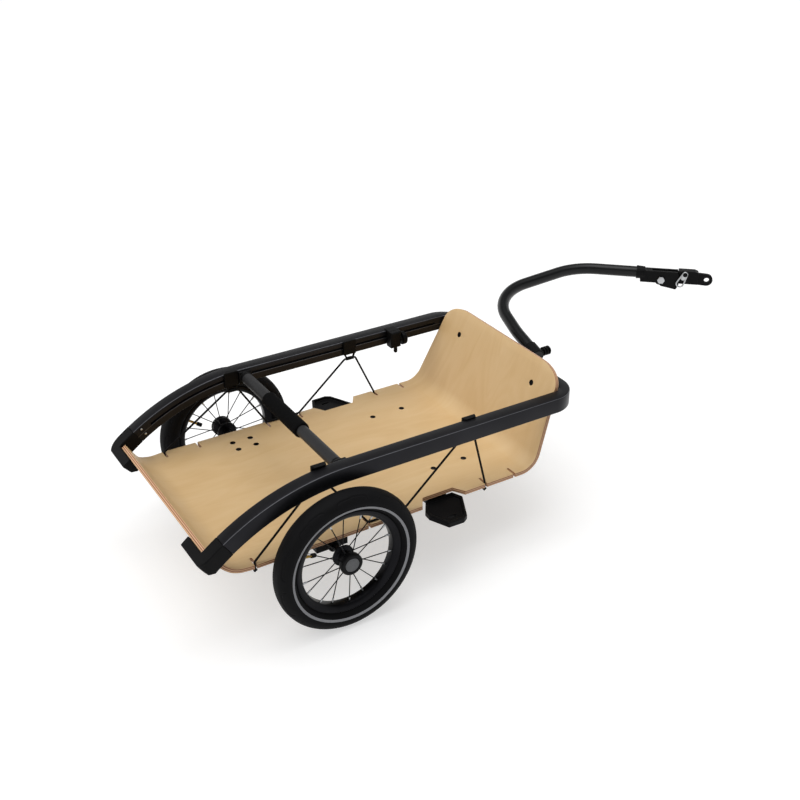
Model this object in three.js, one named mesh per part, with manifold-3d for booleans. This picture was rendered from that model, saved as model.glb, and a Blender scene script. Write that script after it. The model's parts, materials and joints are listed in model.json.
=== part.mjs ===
import * as THREE from "three";
import { mergeVertices } from "three/addons/utils/BufferGeometryUtils.js";
import Module from "manifold-3d";

// Two-wheeled cargo trailer with a bent plywood tray, millimetres, +X forward, +Y left, +Z up.
// Lengths along X are measured from the wheel axle and turned into the part's own frame at the end.

// Fit between touching pieces
const GAP = 0.3;

// Wheels
const WHEEL_DIAMETER = 290;
const WHEEL_SIDES = 36;
const TRACK = 543;
const TYRE_WIDTH = 48;
const TYRE_HEIGHT = 43;
const TYRE_WALL = 3.6;
const BEAD_DEPTH = 5.5;
const RIM_DEPTH = 13.5;
const RIM_WIDTH = 28;
const RIM_WALL = 2.2;
const SPOKE_COUNT = 18;
const SPOKE_DIAMETER = 2;
const NIPPLE_DIAMETER = 4;
const NIPPLE_LENGTH = 7;
const FLANGE_DIAMETER = 43;
const FLANGE_THICKNESS = 4;
const FLANGE_SPACING = 29;
const HUB_BARREL_DIAMETER = 26;
const HUB_CAP_DIAMETER = 44;
const HUB_CAP_HEIGHT = 8;
const BUTTON_DIAMETER = 27.6;
const BUTTON_TRAVEL = 2.5;
const AXLE_DIAMETER = 12.2;
const VALVE_DIAMETER = 5.4;
const VALVE_CAP_DIAMETER = 9;
const VALVE_STEM_LENGTH = 20;
const VALVE_CAP_LENGTH = 11;
const VALVE_LEAN = 0.33;

// Tray of bent plywood
const PLY = 9;
const DECK_LIFT = 18;
const DECK_WIDTH = 448;
const LIP_BEND_START = -178;
const LIP_BEND_RADIUS = 51;
const LIP_ANGLE = 1.01;
const LIP_STRAIGHT = 36;
const LIP_WIDTH = 410;
const PANEL_SETBACK = 102.5;
const PANEL_ANGLE = 1.18;
const PANEL_BEND_RADIUS = 40;
const PANEL_HEIGHT = 185.7;
const PANEL_TOP_WIDTH = 388;
const PANEL_CORNER = { width: 59, height: 38 };
const HOLE_DIAMETER = 12;
const SLOT_WIDTH = 5;
const SLOT_DEPTH = 24;

// Frame of one bent extrusion
const RAIL_WIDTH = 29.5;
const RAIL_HEIGHT = 32.5;
const RAIL_EDGE = 2.4;
const RAIL_WALL = 3;
const RAIL_LIFT = 151;
const RAIL_OUTER = 236;
const RAIL_FRONT = 561;
const RAIL_CORNER = 59;
const RAIL_INNER_CORNER = 12;
const RAIL_DROP_START = 30;
const RAIL_DROP_RADIUS = 447;
const RAIL_SEAM_ANGLE = 0.592;
const CAP_END_ANGLE = 0.724;
const CAP_LEG_REACH = 88;
const CAP_LEG_DEPTH = 14;
const CAP_CORNER = 20;
const CAP_CHAMFER = 0.28;
const GROOVE_WIDTH = 5;
const GROOVE_DEPTH = 5;
const GROOVE_DROP = 11.5;

// Brace between the rails
const BRACE_X = 28;
const BRACE_DIAMETER = 24;
const BRACE_WALL = 2.5;
const BRACE_FOOT = 16;
const GRIP_DIAMETER = 32;
const GRIP_LENGTH = 146;
const GRIP_CENTRE = 17;

// Cords and the clips that carry them
const CORD_DIAMETER = 4.3;
const KNOT_DIAMETER = 10;
const CLIP_WIDTH = 30;
const CLIP_THICKNESS = 6;
const CLIP_EYE_DROP = 40.5;
const CLIP_EYE_LENGTH = 18;
const CLIP_EYE_DIAMETER = 7.4;
const CLAMP_PIN_LENGTH = 15.5;
const CLAMP_PIN_DIAMETER = 8.6;

// Under the tray
const RECEIVER_HEIGHT = 20;
const RECEIVER_LENGTH = 66;
const RECEIVER_INNER = 138;
const RECEIVER_OUTER = 227;
const STEP_DROP = 14;
const STEP_THICKNESS = 12;
const STEP_RIM = 3;
const STEP_RECESS = 5;
const MEMBER_X = 246;
const MEMBER_WIDTH = 44;
const MEMBER_WALL = 2.5;

// Drawbar and hitch
const DRAWBAR_DIAMETER = 26;
const DRAWBAR_WALL = 2.5;
const SOCKET_DIAMETER = 31;
const SOCKET_LENGTH = 36;
const SOCKET_PLATE = 6;
const KNOB_DIAMETER = 20;
const KNOB_PLACE = 11;
const KNOB_LENGTH = 20;
const KNOB_PIN_DIAMETER = 6;
const YOKE_TOP = 8.5;
const YOKE_BOTTOM = -20.5;
const YOKE_CHIN = -35;
const YOKE_THICKNESS = 24;
const YOKE_WALL = 2.5;
const COLLAR_LENGTH = 20;
const PIVOT = { x: 48, z: -11.5 };
const PIVOT_RADIUS = 43;
const TONGUE_THICKNESS = 9;
const TONGUE_TOP = 12;
const TONGUE_BOTTOM = -20;
const TONGUE_BLOCK = 20;
const AXLE_EYE = { x: 153, z: -9, radius: 14 };
const BICYCLE_AXLE_DIAMETER = 12.5;
const HITCH_BOLT_DIAMETER = 8;
const HOOK_WIRE = 3.6;
const HOOK_LENGTH = 42;
const HOOK_WIDTH = 20;
const HOOK_PLACE = { x: 102, z: 6 };
const HOOK_LEAN = 0.4;

// Places along the trailer from the wheel axle, [x, y] on the left side where two numbers are given
const SLOT_PLACES = [-157, -84, 77, 154, 343, 412];
const LACED = { rear: -157, rearInner: 77, frontInner: 154, front: 343 };
const LACING_INSET = 6;
const CLIP_PLACES = { left: [-3, 276], right: [-15, 310] };
const AXLE_HOLES = [[-20, 151.5], [20, 151.5], [-20, 181.5], [20, 181.5]];
const FLOOR_HOLES = [[285, 121.5], [358, 121.5]];
const PANEL_HOLE = { y: 131.5, aboveRail: 1.25 };
const NOTCH = [[189, 232], [209, 200], [278.5, 200], [297.3, 232]];
const STEP_OUTLINE = [[219, 195], [281, 195], [291, 218], [263, 275], [252, 282], [218, 281], [199, 240], [200, 224]];
const STEP_SLOT = { x: 240, y: 256, length: 17, width: 5 };
const CLAMP_X = 383;
const SPOKE_START = { left: 0.004, right: 0.192 };
const VALVE_ANGLE = { left: 2.62, right: 2.74 };

// Corners of the drawbar from the middle of the front rail's outer face, and the radii of its bends
const DRAWBAR_ROUTE = [
  [42, -38, -3.25],
  [56.7, 57.9, 11.95],
  [94.2, 206, 37.55],
  [330.3, 199.4, 55.45],
  [446.6, 97, 54.45],
];
const DRAWBAR_BENDS = [265, 117, 140];

// Shares of the tyre's section, [share of its height, share of its half width]
const TYRE_SHARES = [[0, 0.46], [0.14, 0.47], [0.15, 0.62], [0.3, 0.92], [0.52, 1], [0.8, 0.84], [1, 0.2]];

const finishes = {
  rail: new THREE.MeshStandardMaterial({ color: 0x1d1f22, roughness: 0.45, metalness: 0.6 }),
  plastic: new THREE.MeshStandardMaterial({ color: 0x161717, roughness: 0.6, metalness: 0 }),
  plywood: new THREE.MeshStandardMaterial({ color: 0xcfae80, roughness: 0.5, metalness: 0 }),
  brace: new THREE.MeshStandardMaterial({ color: 0x35363a, roughness: 0.5, metalness: 0.5 }),
  foam: new THREE.MeshStandardMaterial({ color: 0x121212, roughness: 0.95, metalness: 0 }),
  rubber: new THREE.MeshStandardMaterial({ color: 0x17181a, roughness: 0.85, metalness: 0 }),
  rim: new THREE.MeshStandardMaterial({ color: 0x141416, roughness: 0.4, metalness: 0.7 }),
  hub: new THREE.MeshStandardMaterial({ color: 0x101011, roughness: 0.45, metalness: 0.3 }),
  button: new THREE.MeshStandardMaterial({ color: 0x6b6b6b, roughness: 0.6, metalness: 0 }),
  brass: new THREE.MeshStandardMaterial({ color: 0xb08d3c, roughness: 0.35, metalness: 1 }),
  steel: new THREE.MeshStandardMaterial({ color: 0xb9bbbd, roughness: 0.3, metalness: 1 }),
  cord: new THREE.MeshStandardMaterial({ color: 0x0c0c0d, roughness: 0.8, metalness: 0 }),
  drawbar: new THREE.MeshStandardMaterial({ color: 0x0f1011, roughness: 0.3, metalness: 0.5 }),
};

const wasm = await Module();
wasm.setup();
const trailer = new THREE.Group();

// Solids with their faces pointing out
function closed(geometry) {
  geometry.deleteAttribute("normal");
  geometry.deleteAttribute("uv");
  const merged = mergeVertices(geometry, 1e-4);
  const p = merged.attributes.position.array;
  const i = merged.index.array;
  const kept = [];
  let volume = 0;
  for (let t = 0; t < i.length; t += 3) {
    const [a, b, c] = [i[t], i[t + 1], i[t + 2]];
    if (a === b || b === c || a === c) continue;
    kept.push(a, b, c);
    const [ax, ay, az] = [p[a * 3], p[a * 3 + 1], p[a * 3 + 2]];
    const [bx, by, bz] = [p[b * 3], p[b * 3 + 1], p[b * 3 + 2]];
    const [cx, cy, cz] = [p[c * 3], p[c * 3 + 1], p[c * 3 + 2]];
    volume += ax * (by * cz - bz * cy) + ay * (bz * cx - bx * cz) + az * (bx * cy - by * cx);
  }
  if (volume < 0) for (let t = 0; t < kept.length; t += 3) [kept[t], kept[t + 1]] = [kept[t + 1], kept[t]];
  merged.setIndex(kept);
  return merged;
}

function toSolid(geometry) {
  const g = closed(geometry);
  const vertProperties = Float32Array.from(g.attributes.position.array);
  const triVerts = Uint32Array.from(g.index.array);
  return new wasm.Manifold(new wasm.Mesh({ numProp: 3, vertProperties, triVerts }));
}

function toGeometry(solid) {
  const m = solid.getMesh();
  const g = new THREE.BufferGeometry();
  g.setAttribute("position", new THREE.BufferAttribute(Float32Array.from(m.vertProperties), 3));
  g.setIndex([...m.triVerts]);
  return g;
}

function join(first, ...rest) {
  return toGeometry(rest.reduce((sum, g) => sum.add(toSolid(g)), toSolid(first)));
}

function cut(first, ...rest) {
  return toGeometry(rest.reduce((sum, g) => sum.subtract(toSolid(g)), toSolid(first)));
}

function keep(first, ...rest) {
  return toGeometry(rest.reduce((sum, g) => sum.intersect(toSolid(g)), toSolid(first)));
}

// A piece of the trailer
function add(name, geometry, finish, parent = trailer) {
  const g = closed(geometry.clone());
  const flat = g.toNonIndexed();
  flat.computeVertexNormals();
  const mesh = new THREE.Mesh(flat, finishes[finish]);
  mesh.name = name;
  parent.add(mesh);
  return mesh;
}

// The other side of a left-hand piece
function mirrored(geometry) {
  const g = geometry.clone();
  g.scale(1, -1, 1);
  return closed(g);
}

// An outline pushed along an axis, given in the other two axes in the order x, y, z
function prism(outline, axis, from, to, edge = 0, holes = []) {
  const flat = (list) => list.map(([a, b]) => (axis === "y" ? new THREE.Vector2(b, a) : new THREE.Vector2(a, b)));
  const points = flat(outline);
  if (THREE.ShapeUtils.isClockWise(points)) points.reverse();
  const shape = new THREE.Shape(points);
  for (const hole of holes) shape.holes.push(new THREE.Path(flat(hole)));
  const g = new THREE.ExtrudeGeometry(shape, {
    depth: to - from - edge * 2,
    steps: 1,
    bevelEnabled: edge > 0,
    bevelThickness: edge,
    bevelSize: edge,
    bevelOffset: -edge,
    bevelSegments: 1,
    curveSegments: 1,
  });
  g.translate(0, 0, from + edge);
  const [X, Y, Z] = [new THREE.Vector3(1, 0, 0), new THREE.Vector3(0, 1, 0), new THREE.Vector3(0, 0, 1)];
  const turn = new THREE.Matrix4();
  if (axis === "x") turn.makeBasis(Y, Z, X);
  if (axis === "y") turn.makeBasis(Z, X, Y);
  return g.applyMatrix4(turn);
}

function rectangle(a0, a1, b0, b1) {
  return [[a0, b0], [a1, b0], [a1, b1], [a0, b1]];
}

function arc(cx, cy, radius, from, to, count) {
  const points = [];
  for (let k = 0; k <= count; k += 1) {
    const a = from + ((to - from) * k) / count;
    points.push([cx + radius * Math.cos(a), cy + radius * Math.sin(a)]);
  }
  return points;
}

// A profile of [radius, distance along Y] turned about the Y axis, its first point below the axle
function turned(profile, sides) {
  const g = new THREE.LatheGeometry(profile.map(([r, y]) => new THREE.Vector2(r, y)), sides);
  g.rotateY(Math.PI);
  return g;
}

function ring(profile, sides) {
  return turned([...profile, profile[0]], sides);
}

// A rod between two places
function rod(a, b, radius, sides, endRadius = radius) {
  const [p, q] = [new THREE.Vector3(...a), new THREE.Vector3(...b)];
  const g = new THREE.CylinderGeometry(endRadius, radius, p.distanceTo(q), sides, 1);
  const turn = new THREE.Quaternion();
  turn.setFromUnitVectors(new THREE.Vector3(0, 1, 0), q.clone().sub(p).normalize());
  g.applyQuaternion(turn);
  g.translate(...p.add(q).multiplyScalar(0.5).toArray());
  return g;
}

// A path that is swept exactly at its own stations
class Stations extends THREE.Curve {
  constructor(points) {
    super();
    this.points = points.map((p) => new THREE.Vector3(...p));
  }

  getPoint(t) {
    const place = t * (this.points.length - 1);
    const k = Math.min(Math.floor(place), this.points.length - 2);
    return this.points[k].clone().lerp(this.points[k + 1], place - k);
  }

  getPointAt(u) {
    return this.getPoint(u);
  }

  getTangentAt(u) {
    const k = Math.round(u * (this.points.length - 1));
    const before = this.points[Math.max(k - 1, 0)];
    const after = this.points[Math.min(k + 1, this.points.length - 1)];
    return after.clone().sub(before).normalize();
  }

  getSpacedPoints() {
    return this.points.map((p) => p.clone());
  }
}

// Stations along straight runs with rounded corners
function rounded(corners, radii, pieces) {
  const points = [corners[0]];
  for (let k = 1; k < corners.length - 1; k += 1) {
    const corner = new THREE.Vector3(...corners[k]);
    const back = new THREE.Vector3(...corners[k - 1]).sub(corner).normalize();
    const on = new THREE.Vector3(...corners[k + 1]).sub(corner).normalize();
    const half = back.angleTo(on) / 2;
    const reach = radii[k - 1] / Math.tan(half);
    const centre = back.clone().add(on).normalize().multiplyScalar(radii[k - 1] / Math.sin(half)).add(corner);
    const start = back.clone().multiplyScalar(reach).add(corner).sub(centre);
    const end = on.clone().multiplyScalar(reach).add(corner).sub(centre);
    const sweep = start.angleTo(end);
    for (let j = 0; j <= pieces; j += 1) {
      const a = (sweep * j) / pieces;
      const p = start.clone().multiplyScalar(Math.sin(sweep - a) / Math.sin(sweep));
      p.addScaledVector(end, Math.sin(a) / Math.sin(sweep)).add(centre);
      points.push(p.toArray());
    }
  }
  points.push(corners[corners.length - 1]);
  return points;
}

function circle(radius, sides) {
  return arc(0, 0, radius, 0, (Math.PI * 2 * (sides - 1)) / sides, sides - 1);
}

function tube(points, radius, sides, wall = 0) {
  const shape = new THREE.Shape(circle(radius, sides).map((p) => new THREE.Vector2(...p)));
  if (wall > 0) shape.holes.push(new THREE.Path(circle(radius - wall, sides).map((p) => new THREE.Vector2(...p))));
  return new THREE.ExtrudeGeometry(shape, {
    steps: points.length - 1,
    bevelEnabled: false,
    extrudePath: new Stations(points),
  });
}

// Heights and faces that several pieces share
const wheelRadius = WHEEL_DIAMETER / 2;
const halfTrack = TRACK / 2;
const deckTop = wheelRadius + DECK_LIFT;
const deckBottom = deckTop - PLY;
const stepTop = deckTop - STEP_DROP;
const railInner = RAIL_OUTER - RAIL_WIDTH;
const railTop = deckTop + RAIL_LIFT;
const railBottom = railTop - RAIL_HEIGHT;
const railMiddle = railTop - RAIL_HEIGHT / 2;
const dropCentre = railTop - RAIL_DROP_RADIUS;
const panelTop = deckTop + PANEL_HEIGHT;
const panelHoleZ = railMiddle + PANEL_HOLE.aboveRail;
const panelFoot = RAIL_FRONT - PANEL_SETBACK;
const panelLean = 1 / Math.tan(PANEL_ANGLE);
const panelFaceAt = (z) => panelFoot + (z - deckTop) * panelLean;
const plyAcross = PLY / Math.sin(PANEL_ANGLE);

// Wheels
function wheel(side) {
  const wheelGroup = new THREE.Group();
  wheelGroup.position.set(0, side === "left" ? halfTrack : -halfTrack, wheelRadius);
  if (side === "right") wheelGroup.rotation.z = Math.PI;
  trailer.add(wheelGroup);
  const local = (angle) => (side === "left" ? angle : Math.PI - angle);

  // Tyre, open towards the rim
  const seat = wheelRadius - TYRE_HEIGHT;
  const half = TYRE_WIDTH / 2;
  const outer = TYRE_SHARES.map(([h, w]) => [seat + TYRE_HEIGHT * h, half * w]);
  const inner = TYRE_SHARES.slice(2, -1).map(([h, w]) => [
    seat + (TYRE_HEIGHT - TYRE_WALL) * h,
    half * w - TYRE_WALL,
  ]);
  const mirror = (list) => list.map(([r, y]) => [r, -y]);
  const foot = [seat, half * TYRE_SHARES[0][1] - TYRE_WALL];
  const section = [foot, ...outer, ...mirror(outer).reverse(), ...mirror([foot]), ...mirror(inner), ...inner.reverse()];
  add(`tyre_${side}`, ring(section, WHEEL_SIDES), "rubber", wheelGroup);

  // Rim with its nipples
  const flange = seat + BEAD_DEPTH;
  const bed = flange - RIM_DEPTH;
  const rimHalf = RIM_WIDTH / 2;
  const channel = seat - GAP;
  const bedHalf = rimHalf * 0.62;
  const shoulder = bed + (flange - bed) * 0.34;
  const rimSection = [
    [bed, -bedHalf], [bed, bedHalf], [shoulder, rimHalf], [flange, rimHalf], [flange, rimHalf - RIM_WALL],
    [channel, rimHalf - RIM_WALL], [channel, RIM_WALL - rimHalf], [flange, RIM_WALL - rimHalf],
    [flange, -rimHalf], [shoulder, -rimHalf],
  ];
  const spokeAngle = (k) => local(SPOKE_START[side] + (Math.PI * 2 * k) / SPOKE_COUNT);
  const polar = (r, angle, y) => [r * Math.cos(angle), y, r * Math.sin(angle)];
  const flangePlane = (FLANGE_SPACING - FLANGE_THICKNESS) / 2;
  const lean = (k) => (k % 2 ? 1 : -1);
  const spokeFoot = FLANGE_DIAMETER * 0.4;
  const spokeOffset = bedHalf * 0.35;
  const offsetAt = (r) => flangePlane + ((spokeOffset - flangePlane) * (r - spokeFoot)) / (bed - spokeFoot);
  const along = (k, r) => polar(r, spokeAngle(k), lean(k) * offsetAt(r));
  const nipples = [];
  const spokes = [];
  for (let k = 0; k < SPOKE_COUNT; k += 1) {
    const nippleEnd = bed - NIPPLE_LENGTH;
    nipples.push(rod(along(k, nippleEnd), along(k, bed + RIM_WALL), NIPPLE_DIAMETER / 2, 5));
    spokes.push(rod(along(k, spokeFoot), along(k, nippleEnd - GAP), SPOKE_DIAMETER / 2, 5));
  }
  add(`rim_${side}`, join(ring(rimSection, WHEEL_SIDES), ...nipples), "rim", wheelGroup);

  // Hub with its spokes
  const bore = AXLE_DIAMETER / 2 + GAP;
  const flangeRadius = FLANGE_DIAMETER / 2;
  const barrel = HUB_BARREL_DIAMETER / 2;
  const flangeOut = FLANGE_SPACING / 2;
  const flangeIn = flangeOut - FLANGE_THICKNESS;
  const collar = bore + FLANGE_THICKNESS;
  const hubEnd = flangeOut + FLANGE_THICKNESS / 2;
  const hub = ring([
    [bore, -hubEnd], [collar, -hubEnd], [collar, -flangeOut], [flangeRadius, -flangeOut], [flangeRadius, -flangeIn],
    [barrel, GAP - flangeIn], [barrel, flangeIn - GAP], [flangeRadius, flangeIn], [flangeRadius, flangeOut],
    [collar, flangeOut], [collar, hubEnd], [bore, hubEnd],
  ], 24);
  add(`hub_${side}`, join(hub, ...spokes), "hub", wheelGroup);

  // Ring round the release button
  const capFoot = flangeOut + GAP;
  const capFace = capFoot + HUB_CAP_HEIGHT;
  const capRadius = HUB_CAP_DIAMETER / 2;
  const wellRadius = BUTTON_DIAMETER / 2 + GAP;
  const capFloor = hubEnd + GAP;
  const cap = ring([
    [collar + GAP, capFoot], [capRadius, capFoot], [capRadius, capFace - capRadius * 0.1], [capRadius * 0.94, capFace],
    [wellRadius, capFace], [wellRadius, capFloor], [collar + GAP, capFloor],
  ], 24);
  add(`hub_cap_${side}`, cap, "plastic", wheelGroup);

  // Axle pin that the wheel turns on
  const pinRadius = AXLE_DIAMETER / 2;
  const pinEnd = RECEIVER_INNER + PLY - halfTrack;
  const head = pinRadius * 1.5;
  const headFoot = hubEnd + GAP;
  const headFace = headFoot + GAP * 4;
  const stemRadius = pinRadius * 0.5;
  const stemFoot = headFace - BUTTON_DIAMETER * 0.5;
  const pin = turned([
    [0, pinEnd], [pinRadius * 0.7, pinEnd], [pinRadius, pinEnd + pinRadius * 0.6], [pinRadius, headFoot],
    [head, headFoot], [head, headFace], [stemRadius + GAP, headFace], [stemRadius + GAP, stemFoot], [0, stemFoot],
  ], 20);
  add(`axle_pin_${side}`, pin, "steel", wheelGroup);

  // Release button in the middle of the hub
  const buttonBack = headFace + BUTTON_TRAVEL + GAP;
  const buttonFace = capFace + GAP;
  const button = turned([
    [0, stemFoot + BUTTON_TRAVEL + GAP], [stemRadius, stemFoot + BUTTON_TRAVEL + GAP], [stemRadius, buttonBack],
    [BUTTON_DIAMETER / 2, buttonBack], [BUTTON_DIAMETER / 2, buttonFace - GAP * 2],
    [BUTTON_DIAMETER * 0.45, buttonFace], [0, buttonFace + GAP],
  ], 24);
  add(`release_button_${side}`, button, "button", wheelGroup);

  // Valve stem and its cap, leaning inboard
  const valveAngle = local(VALVE_ANGLE[side]);
  const valveAt = (d) => polar(bed - GAP * 4 - d * Math.cos(VALVE_LEAN), valveAngle, -d * Math.sin(VALVE_LEAN));
  add(`valve_stem_${side}`, rod(valveAt(0), valveAt(VALVE_STEM_LENGTH), VALVE_DIAMETER / 2, 10), "brass", wheelGroup);
  const capStart = VALVE_STEM_LENGTH + GAP;
  const valveCap = rod(valveAt(capStart), valveAt(capStart + VALVE_CAP_LENGTH), VALVE_CAP_DIAMETER / 2, 10);
  add(`valve_cap_${side}`, valveCap, "plastic", wheelGroup);
}
wheel("left");
wheel("right");

// Tray, bent up behind into a lip and in front into a panel
function deckOutline() {
  const lipCentre = [LIP_BEND_START, deckTop + LIP_BEND_RADIUS];
  const down = -Math.PI / 2;
  const lip = (radius) => arc(...lipCentre, radius, down - LIP_ANGLE, down, 8);
  const lipEnd = (radius) => {
    const [x, z] = lip(radius)[0];
    return [x - LIP_STRAIGHT * Math.cos(LIP_ANGLE), z + LIP_STRAIGHT * Math.sin(LIP_ANGLE)];
  };
  const reach = PANEL_BEND_RADIUS * Math.tan(PANEL_ANGLE / 2);
  const frontCentre = [panelFoot - reach, deckTop + PANEL_BEND_RADIUS];
  const bend = (radius) => arc(...frontCentre, radius, down, down + PANEL_ANGLE, 9);
  const under = (radius) => radius + PLY;
  const topX = panelFaceAt(panelTop);
  return [
    lipEnd(LIP_BEND_RADIUS), ...lip(LIP_BEND_RADIUS), ...bend(PANEL_BEND_RADIUS), [topX, panelTop],
    [topX + PLY * Math.sin(PANEL_ANGLE), panelTop - PLY * Math.cos(PANEL_ANGLE)],
    ...bend(under(PANEL_BEND_RADIUS)).reverse(),
    ...lip(under(LIP_BEND_RADIUS)).reverse(), lipEnd(under(LIP_BEND_RADIUS)),
  ];
}

function deck() {
  const half = DECK_WIDTH / 2;
  const sheet = prism(deckOutline(), "y", -half, half);
  const far = RAIL_FRONT;
  const lipHalf = LIP_WIDTH / 2;
  const lipBack = LIP_BEND_START - LIP_BEND_RADIUS * 0.8;
  const lipStart = LIP_BEND_START + LIP_BEND_RADIUS * 0.5;
  const lipMiddle = LIP_BEND_START - LIP_BEND_RADIUS * 0.4;
  const lipStep = half - (half - lipHalf) * 0.3;
  const planHalf = [[far, half], [lipStart, half], [lipMiddle, lipStep], [lipBack, lipHalf], [-far, lipHalf]];
  const plan = prism([...planHalf, ...planHalf.map(([x, y]) => [x, -y]).reverse()], "z", 0, panelTop * 2);
  const topHalf = PANEL_TOP_WIDTH / 2;
  const slope = (half - topHalf) / (panelTop - deckTop);
  const { width, height } = PANEL_CORNER;
  const reach = width + slope * height;
  const corner = arc(0, 0, 1, 0, Math.PI / 2, 7).map(([a, b]) => [
    topHalf - width + reach * a,
    panelTop - height + height * b,
  ]);
  const frontHalf = [[half, 0], [half, deckTop], ...corner];
  const front = prism([...frontHalf, ...frontHalf.map(([y, z]) => [-y, z]).reverse()], "x", -far, far * 2);
  const cuts = [];
  for (const s of [1, -1]) {
    for (const x of SLOT_PLACES) {
      const [low, high] = [half - SLOT_DEPTH, half + SLOT_DEPTH];
      const end = arc(x, low + SLOT_WIDTH / 2, SLOT_WIDTH / 2, Math.PI, Math.PI * 2, 4);
      const slot = [...end, [x + SLOT_WIDTH / 2, high], [x - SLOT_WIDTH / 2, high]];
      cuts.push(prism(slot.map(([a, b]) => [a, b * s]), "z", deckBottom - PLY, deckTop + LIP_BEND_RADIUS));
    }
    cuts.push(prism(NOTCH.map(([a, b]) => [a, b * s]), "z", deckBottom - PLY, deckTop + PLY));
    for (const [x, y] of [...AXLE_HOLES, ...FLOOR_HOLES]) {
      cuts.push(rod([x, y * s, deckBottom - PLY], [x, y * s, deckTop + PLY], HOLE_DIAMETER / 2, 16));
    }
    const [nx, nz] = [Math.sin(PANEL_ANGLE) * PLY * 2, -Math.cos(PANEL_ANGLE) * PLY * 2];
    const [x, y, z] = [panelFaceAt(panelHoleZ), PANEL_HOLE.y * s, panelHoleZ];
    cuts.push(rod([x - nx, y, z - nz], [x + nx, y, z + nz], HOLE_DIAMETER / 2, 16));
  }
  return cut(keep(sheet, plan, front), ...cuts);
}
add("deck", deck(), "plywood");

// Rails: one extrusion bent into a U, its tails dropping behind the wheels
const dropPoint = (radius, angle) => [
  RAIL_DROP_START - radius * Math.sin(angle),
  dropCentre + radius * Math.cos(angle),
];
function spread(from, to, count) {
  return Array.from({ length: count + 1 }, (_, k) => from + ((to - from) * k) / count);
}

function dropBand(outerRadius, innerRadius, angles) {
  return [
    ...angles.map((a) => dropPoint(outerRadius, a)),
    ...angles.toReversed().map((a) => dropPoint(innerRadius, a)),
  ];
}

function bentRail(inset, grooved, edge, endAngle) {
  const [outer, inner] = [RAIL_OUTER - inset, railInner + grooved + inset];
  const [upper, lower] = [RAIL_DROP_RADIUS - inset, RAIL_DROP_RADIUS - RAIL_HEIGHT + inset];
  const joinEnd = RAIL_FRONT - RAIL_CORNER - RAIL_WIDTH * 0.7;
  const joinStart = joinEnd - RAIL_WIDTH;
  const [high, low] = [railTop - inset, railBottom + inset];
  const side = [[joinEnd, high], ...dropBand(upper, lower, spread(0, endAngle, 12)), [joinEnd, low]];
  const left = prism(side, "y", inner, outer, edge);
  const bendX = RAIL_FRONT - RAIL_CORNER;
  const bendY = RAIL_OUTER - RAIL_CORNER;
  const outerCorner = RAIL_CORNER - inset;
  const [insideX, insideY] = [RAIL_FRONT - RAIL_WIDTH - RAIL_INNER_CORNER, railInner - RAIL_INNER_CORNER];
  const innerCorner = RAIL_INNER_CORNER + grooved + inset;
  const quarter = Math.PI / 2;
  const plan = [
    [joinStart, outer], ...arc(bendX, bendY, outerCorner, quarter, 0, 7),
    ...arc(bendX, -bendY, outerCorner, 0, -quarter, 7), [joinStart, -outer], [joinStart, -inner],
    ...arc(insideX, -insideY, innerCorner, -quarter, 0, 5), ...arc(insideX, insideY, innerCorner, 0, quarter, 5),
    [joinStart, inner],
  ];
  return join(left, mirrored(left), prism(plan, "z", low, high, edge));
}

function railFrame() {
  const hollow = bentRail(RAIL_WALL, GROOVE_DEPTH, 0, RAIL_SEAM_ANGLE * 1.1);
  const grooveOuter = RAIL_DROP_RADIUS - GROOVE_DROP;
  const grooveInner = grooveOuter - GROOVE_WIDTH;
  const grooveEnd = RAIL_FRONT - RAIL_CORNER;
  const groove = [
    [grooveEnd, railTop - GROOVE_DROP],
    ...dropBand(grooveOuter, grooveInner, spread(0, RAIL_SEAM_ANGLE * 0.86, 10)),
    [grooveEnd, railTop - GROOVE_DROP - GROOVE_WIDTH],
  ];
  const track = prism(groove, "y", railInner - GROOVE_DEPTH, railInner + GROOVE_DEPTH);
  const rivets = [];
  for (const share of [0.25, 0.7]) {
    const [x, z] = dropPoint(RAIL_DROP_RADIUS - RAIL_HEIGHT * share, RAIL_SEAM_ANGLE * 0.94);
    rivets.push(rod([x, railInner - GAP * 3, z], [x, railInner + RAIL_EDGE, z], RAIL_EDGE, 8));
  }
  const whole = cut(bentRail(0, 0, RAIL_EDGE, RAIL_SEAM_ANGLE), hollow, track, mirrored(track));
  return join(whole, ...rivets, ...rivets.map(mirrored));
}
add("rail_frame", railFrame(), "rail");

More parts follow.
